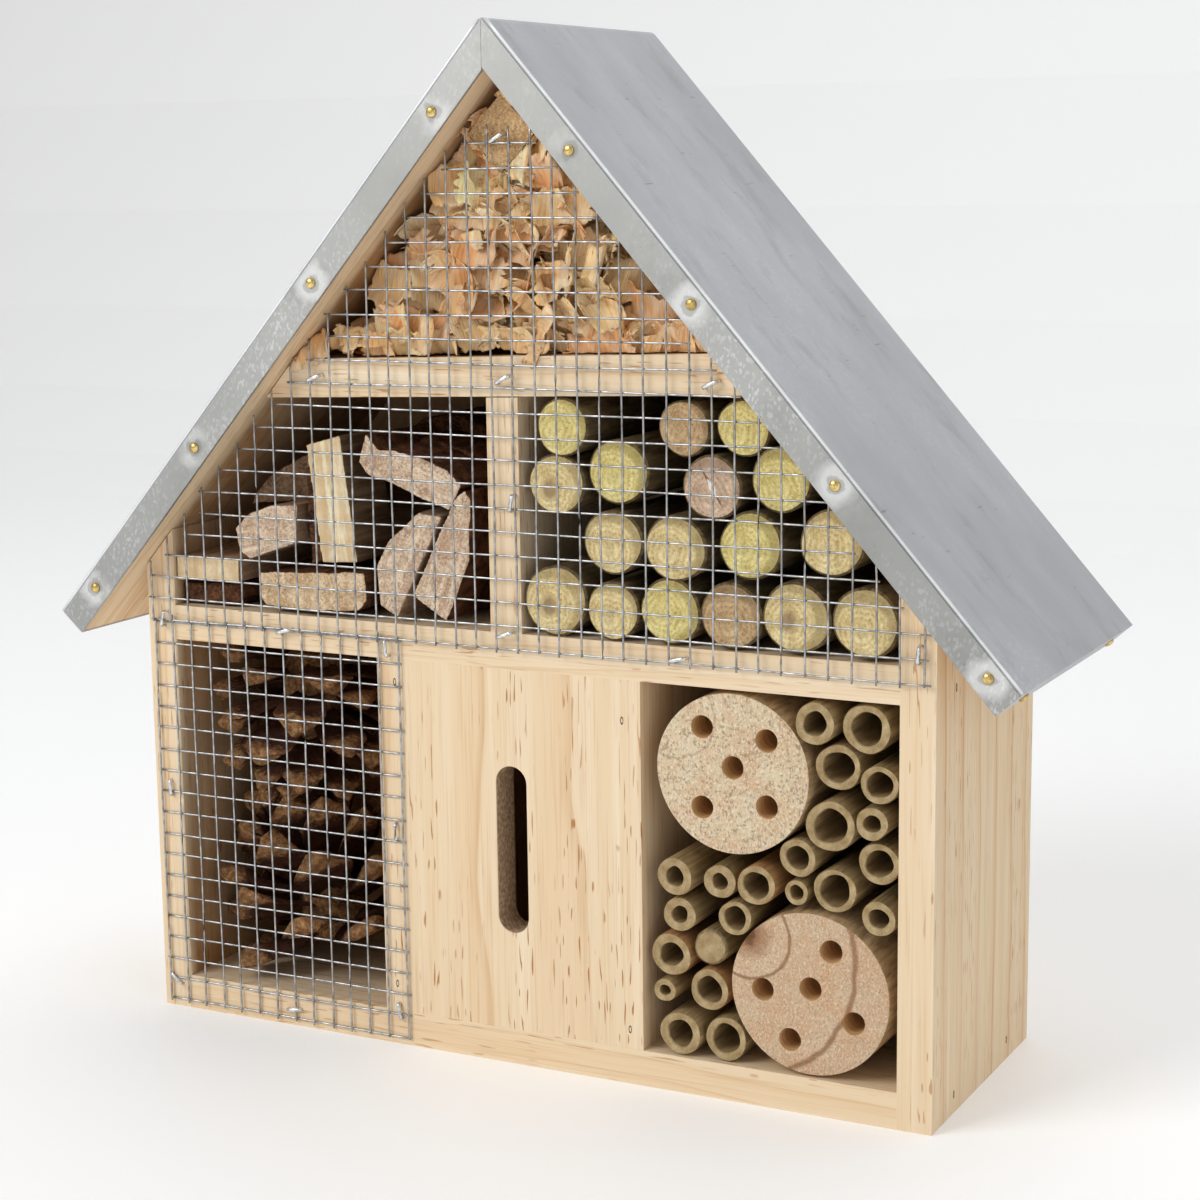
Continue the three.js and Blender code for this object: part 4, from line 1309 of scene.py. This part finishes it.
def pine_cone(name, node, look, foot, axis, height, radius, scales, seed, profile):
    """Scales set on a spindle by the golden angle, wide open near the foot."""
    chance = random.Random(seed)
    axis = axis.normalized()
    aside = axis.orthogonal().normalized()
    shape = bmesh.new()
    layer = shape.loops.layers.color.new("tip")
    core = [foot + axis * height * step / 8 for step in range(9)]
    sweep(shape, core, [radius * r for r in (0.28, 0.33, 0.31, 0.28, 0.25, 0.2, 0.15, 0.1, 0.04)], 12)
    for k in range(scales):
        t = (k + 0.5) / scales
        around = Matrix.Rotation(k * GOLDEN_ANGLE + chance.uniform(-0.1, 0.1), 3, axis)
        out_flat = around @ aside
        spread = math.radians(-10 + 88 * t ** 1.15) + chance.uniform(-0.1, 0.1)
        out = (out_flat * math.cos(spread) + axis * math.sin(spread)).normalized()
        up = (axis * math.cos(spread) - out_flat * math.sin(spread)).normalized()
        at = min(len(profile) - 2, int(t * (len(profile) - 1)))
        share = t * (len(profile) - 1) - at
        swell = profile[at] * (1 - share) + profile[at + 1] * share
        length = radius * (0.28 + 0.62 * swell) * chance.uniform(0.94, 1.05)
        width = radius * (0.12 + 0.44 * swell) * chance.uniform(0.9, 1.1)
        base = foot + axis * height * (0.03 + 0.72 * t) + out_flat * radius * 0.10
        thick = radius * (0.10 + 0.05 * swell)
        cone_scale(shape, layer, base, out, up, length, width, thick, chance.uniform(0.0, 0.1), chance)
    piece = finish_mesh(name, shape, [look], True)
    for vert in piece.data.vertices:
        for axis_number in range(3):
            low, high = CONE_ROOM[2 * axis_number:2 * axis_number + 2]
            vert.co[axis_number] = min(max(vert.co[axis_number], low * MM), high * MM)
    wear_down(piece, "lumpy_rind", 2.2 * MM, 1.1 * MM, 0.65)
    mark_sharp(piece, 70)
    return dress(piece, "cone_scale", node)


def add_cones():
    look = cone_looks()
    middle = middle_of("pine_cone_upper")
    middle.z = 0
    pine_cone("cone_hanging", "pine_cone_upper", look, middle + Vector((0.0012, -0.002, 0.106)),
              Vector((-0.07, -0.03, -1)), 0.060, 0.0285, 48, 5, (0.80, 0.95, 1.0, 0.62, 0.34, 0.22))
    pine_cone("cone_standing", "pine_cone_lower", look, middle + Vector((0.006, 0.0, 0.020)),
              Vector((-0.36, -0.04, 1)), 0.036, 0.0305, 36, 8, (0.95, 1.0, 0.95, 0.8))


# ---- Offcuts -----------------------------------------------------

PALE_END = ((0.91, 0.70, 0.47), (0.60, 0.375, 0.20))
PINK_END = ((0.89, 0.69, 0.51), (0.60, 0.39, 0.255))
# Dull brown wood darkened as painted shade: the front of the set-back half-round and the sides of several
# blocks.
DULL_SHADED_WOOD = ((0.46, 0.31, 0.20), (0.24, 0.14, 0.08))
CREAM_FACE = ((0.90, 0.76, 0.53), (0.72, 0.52, 0.29))
BARK = ((0.20, 0.085, 0.04), (0.035, 0.015, 0.008))
# Each block: its CAD node or None, outline (x, z) in mm, front and back y in mm, how rough it is
# in mm, the front's light and dark tones, the side's, and which way its bark faces. Most side tones
# are darker than the front as painted shade.
BLOCKS = {
    "floor_board": (
        "offcut_floor_board", ((-110.1, 128.9), (-88.5, 129.4), (-88.4, 136.3), (-110, 136)), -39.2, 20,
        0.15, CREAM_FACE, DULL_SHADED_WOOD, None),
    "floor_bark": (
        "offcut_floor_board", ((-110, 122), (-91, 121.9), (-88.8, 124.6), (-89.2, 128.4), (-110, 128)),
        -36.5, 18, 1.0, BARK, BARK, None),
    "sawn_wedge": (
        "offcut_sawn_wedge", ((-89.6, 144.9), (-88.2, 138.2), (-84.6, 136.2), (-68.6, 141.8), (-68, 152.6),
                              (-76, 152.2), (-84.2, 149.6)), -39, 10, 0.6, PINK_END, DULL_SHADED_WOOD, None),
    # The upright board's near-black side tones are its side grain painted in shadow.
    "upright_board": (
        "offcut_upright_board", ((-60.4, 136.8), (-48.8, 137.3), (-53.4, 172.6), (-64.6, 169.6)), -38.6,
        -18, 0.2, CREAM_FACE, ((0.27, 0.18, 0.10), (0.09, 0.05, 0.025)), None),
    "upright_bark": (
        "offcut_upright_board", ((-66, 135.5), (-61.2, 136.8), (-64.6, 163), (-67, 163)), -36, -16, 0.8,
        BARK, BARK, None),
    "half_round": (
        "offcut_half_round", ((-95, 149.4), (-74.6, 151.4), (-67, 156.5), (-68, 167.8), (-77, 164.2),
                              (-87.4, 159), (-94, 152.6)), -22, 30, 0.7, DULL_SHADED_WOOD, BARK, (0, 0, 1)),
    "rough_block": (
        "offcut_rough_block", ((-81.7, 126.5), (-79.5, 123.4), (-63, 122.6), (-48, 124), (-45.8, 127),
                               (-46.2, 135), (-81.5, 132.9)), -39.4, 8, 0.8, PALE_END, BARK, (0, 0, -1)),
    "curved_slab": (
        "offcut_curved_slab", ((-47.8, 165.4), (-44.6, 162), (-39.8, 160.8), (-30.4, 157.2), (-19, 153.4),
                               (-14.9, 160.8), (-20, 165), (-28.1, 168), (-36, 169.4), (-41.4, 169.4),
                               (-45, 173.8)), -38.8, 20, 0.8, PINK_END, BARK, (0, 0, 1)),
    "leaning_wedge": (
        "offcut_streaked_plank", ((-42.6, 137), (-42, 126), (-36.2, 122.9), (-24.9, 144.6), (-21.2, 151.8),
                                  (-29, 152.6), (-38.8, 143.6)), -39, -12, 0.5, PINK_END, DULL_SHADED_WOOD, None),
    "leaning_plank": (
        "offcut_streaked_plank", ((-31.3, 129.4), (-28, 127), (-20.4, 122.9), (-13, 140), (-12.1, 156.6),
                                  (-14, 159.4), (-17.6, 156.4), (-23.8, 144.2)), -38.6, 4, 0.5,
        PINK_END, BARK, (1, 0, 0)),
    "bark_arch": (
        None, ((-66, 157), (-58, 165), (-48, 174), (-38, 176), (-27, 172.5), (-26, 168.5), (-36, 171),
               (-47, 169), (-57, 159), (-62, 153)), -4, 26, 1.1, BARK, BARK, None),
    "bark_strip": (
        None, ((-40, 171), (-24, 168), (-9, 158), (-8.4, 150), (-16, 158), (-26, 163), (-38, 166)), -20, 24,
        1.0, BARK, BARK, None),
    "bark_foot": (
        None, ((-12.2, 126), (-8.2, 124), (-8.2, 150), (-11.6, 150)), -26, 22, 0.8, BARK, BARK, None),
}


# How far the saw marks lean from upright, in degrees, where they are strong.
STREAK_LEAN = {
    "leaning_plank": -19, "leaning_wedge": -30, "curved_slab": 66, "sawn_wedge": -76, "upright_board": 7,
}


def block_look(name, end, side, bark_side):
    """Fuzzy sawn end grain in front, streaked sides in darker tones that are partly painted shade, and
    cracked bark on one side.
    """
    look = Surface("wood_" + name, Specular_IOR_Level=0.15)
    normal = look.node("ShaderNodeTexCoord").outputs["Normal"]
    fuzz = look.noise(look.place, 1250, 3, 0.75)
    broad = look.noise(look.place, 190, 4, 0.6)
    marks = look.mapped(look.place, turn=(0, STREAK_LEAN.get(name, 0), 0))
    marks = look.streaks(marks, (640, 200, 40), 4, 0.65)
    colour = look.mix(look.spread(broad, 0.35, 0.65), end[1], end[0])
    plank = name.endswith(("board", "plank"))
    colour = look.tint(colour, marks, 0.45, 0.62, 0.75 if plank else 0.45, end[1])
    if name in STREAK_LEAN:
        colour = look.tint(colour, marks, 0.47, 0.38, 0.7, shade(end[0], 1.2))
    if not name.endswith("board"):
        colour = look.tint(colour, fuzz, 0.52, 0.64, 0.65, shade(end[1], 0.45))
        colour = look.tint(colour, fuzz, 0.46, 0.36, 0.55, shade(end[0], 1.35))
    lengthways = look.streaks(look.place, (420, 24, 420), 4, 0.65)
    # The sides take the side tones: streaked side grain, darkened as painted shade where the sides fall in
    # shadow.
    shaded_flank = look.ramp(lengthways, (0.34, side[1]), (0.66, side[0]))
    frontness = look.plus(look.axes(normal)[1], look.spread(fuzz, 0.3, 0.7, -0.12, 0.12))
    colour = look.tint(colour, frontness, -0.72, -0.5, 1, shaded_flank)
    height = fuzz
    if bark_side:
        facing = look.node("ShaderNodeVectorMath", {0: normal, 1: bark_side}, operation="DOT_PRODUCT")
        edge = look.plus(facing.outputs["Value"], look.spread(broad, 0.3, 0.7, -0.2, 0.3))
        crust = look.noise(look.place, 330, 5, 0.65)
        bark = look.ramp(crust, (0.35, BARK[1]), (0.7, BARK[0]))
        colour = look.tint(colour, edge, 0.5, 0.65, 1, bark)
        height = look.plus(height, look.times(crust, 0.5))
    look.bump(height, 0.6 if name.endswith("board") else 1.0, 0.0006)
    return look.finish(colour, 0.9)


def add_offcuts():
    """Sawn blocks: extruded outlines, remeshed fine and worn by a seeded displacement."""
    for name, (node, outline, front, back, rough, end, side, bark_side) in BLOCKS.items():
        shape = bmesh.new()
        rows = [[shape.verts.new((x * MM, y * MM, z * MM)) for x, z in outline] for y in (front, back)]
        slab(shape, *rows)
        block = finish_mesh("sawn_" + name, shape, [block_look(name, end, side, bark_side)], True)
        fine = block.modifiers.new("fine_faces", "REMESH")
        fine.mode = "VOXEL"
        fine.voxel_size = 0.62 * MM
        fine.use_smooth_shade = True
        for label, size, amount in (("worn", 6 * MM, 1.2), ("torn", 1.1 * MM, 0.55)):
            wear_down(block, label + "_faces", size, rough * amount * MM, 0.6)
        dress(block, "offcut_wood", *([node] if node else []))


# ---- Build -------------------------------------------------------

add_camera()
add_studio()
dress_carcass()
add_brads()
dress_roof()
dress_hanger()
add_nails()
add_meshes()
add_staples()
add_bamboo()
add_sticks()
add_logs()
add_shavings()
add_cones()
add_offcuts()
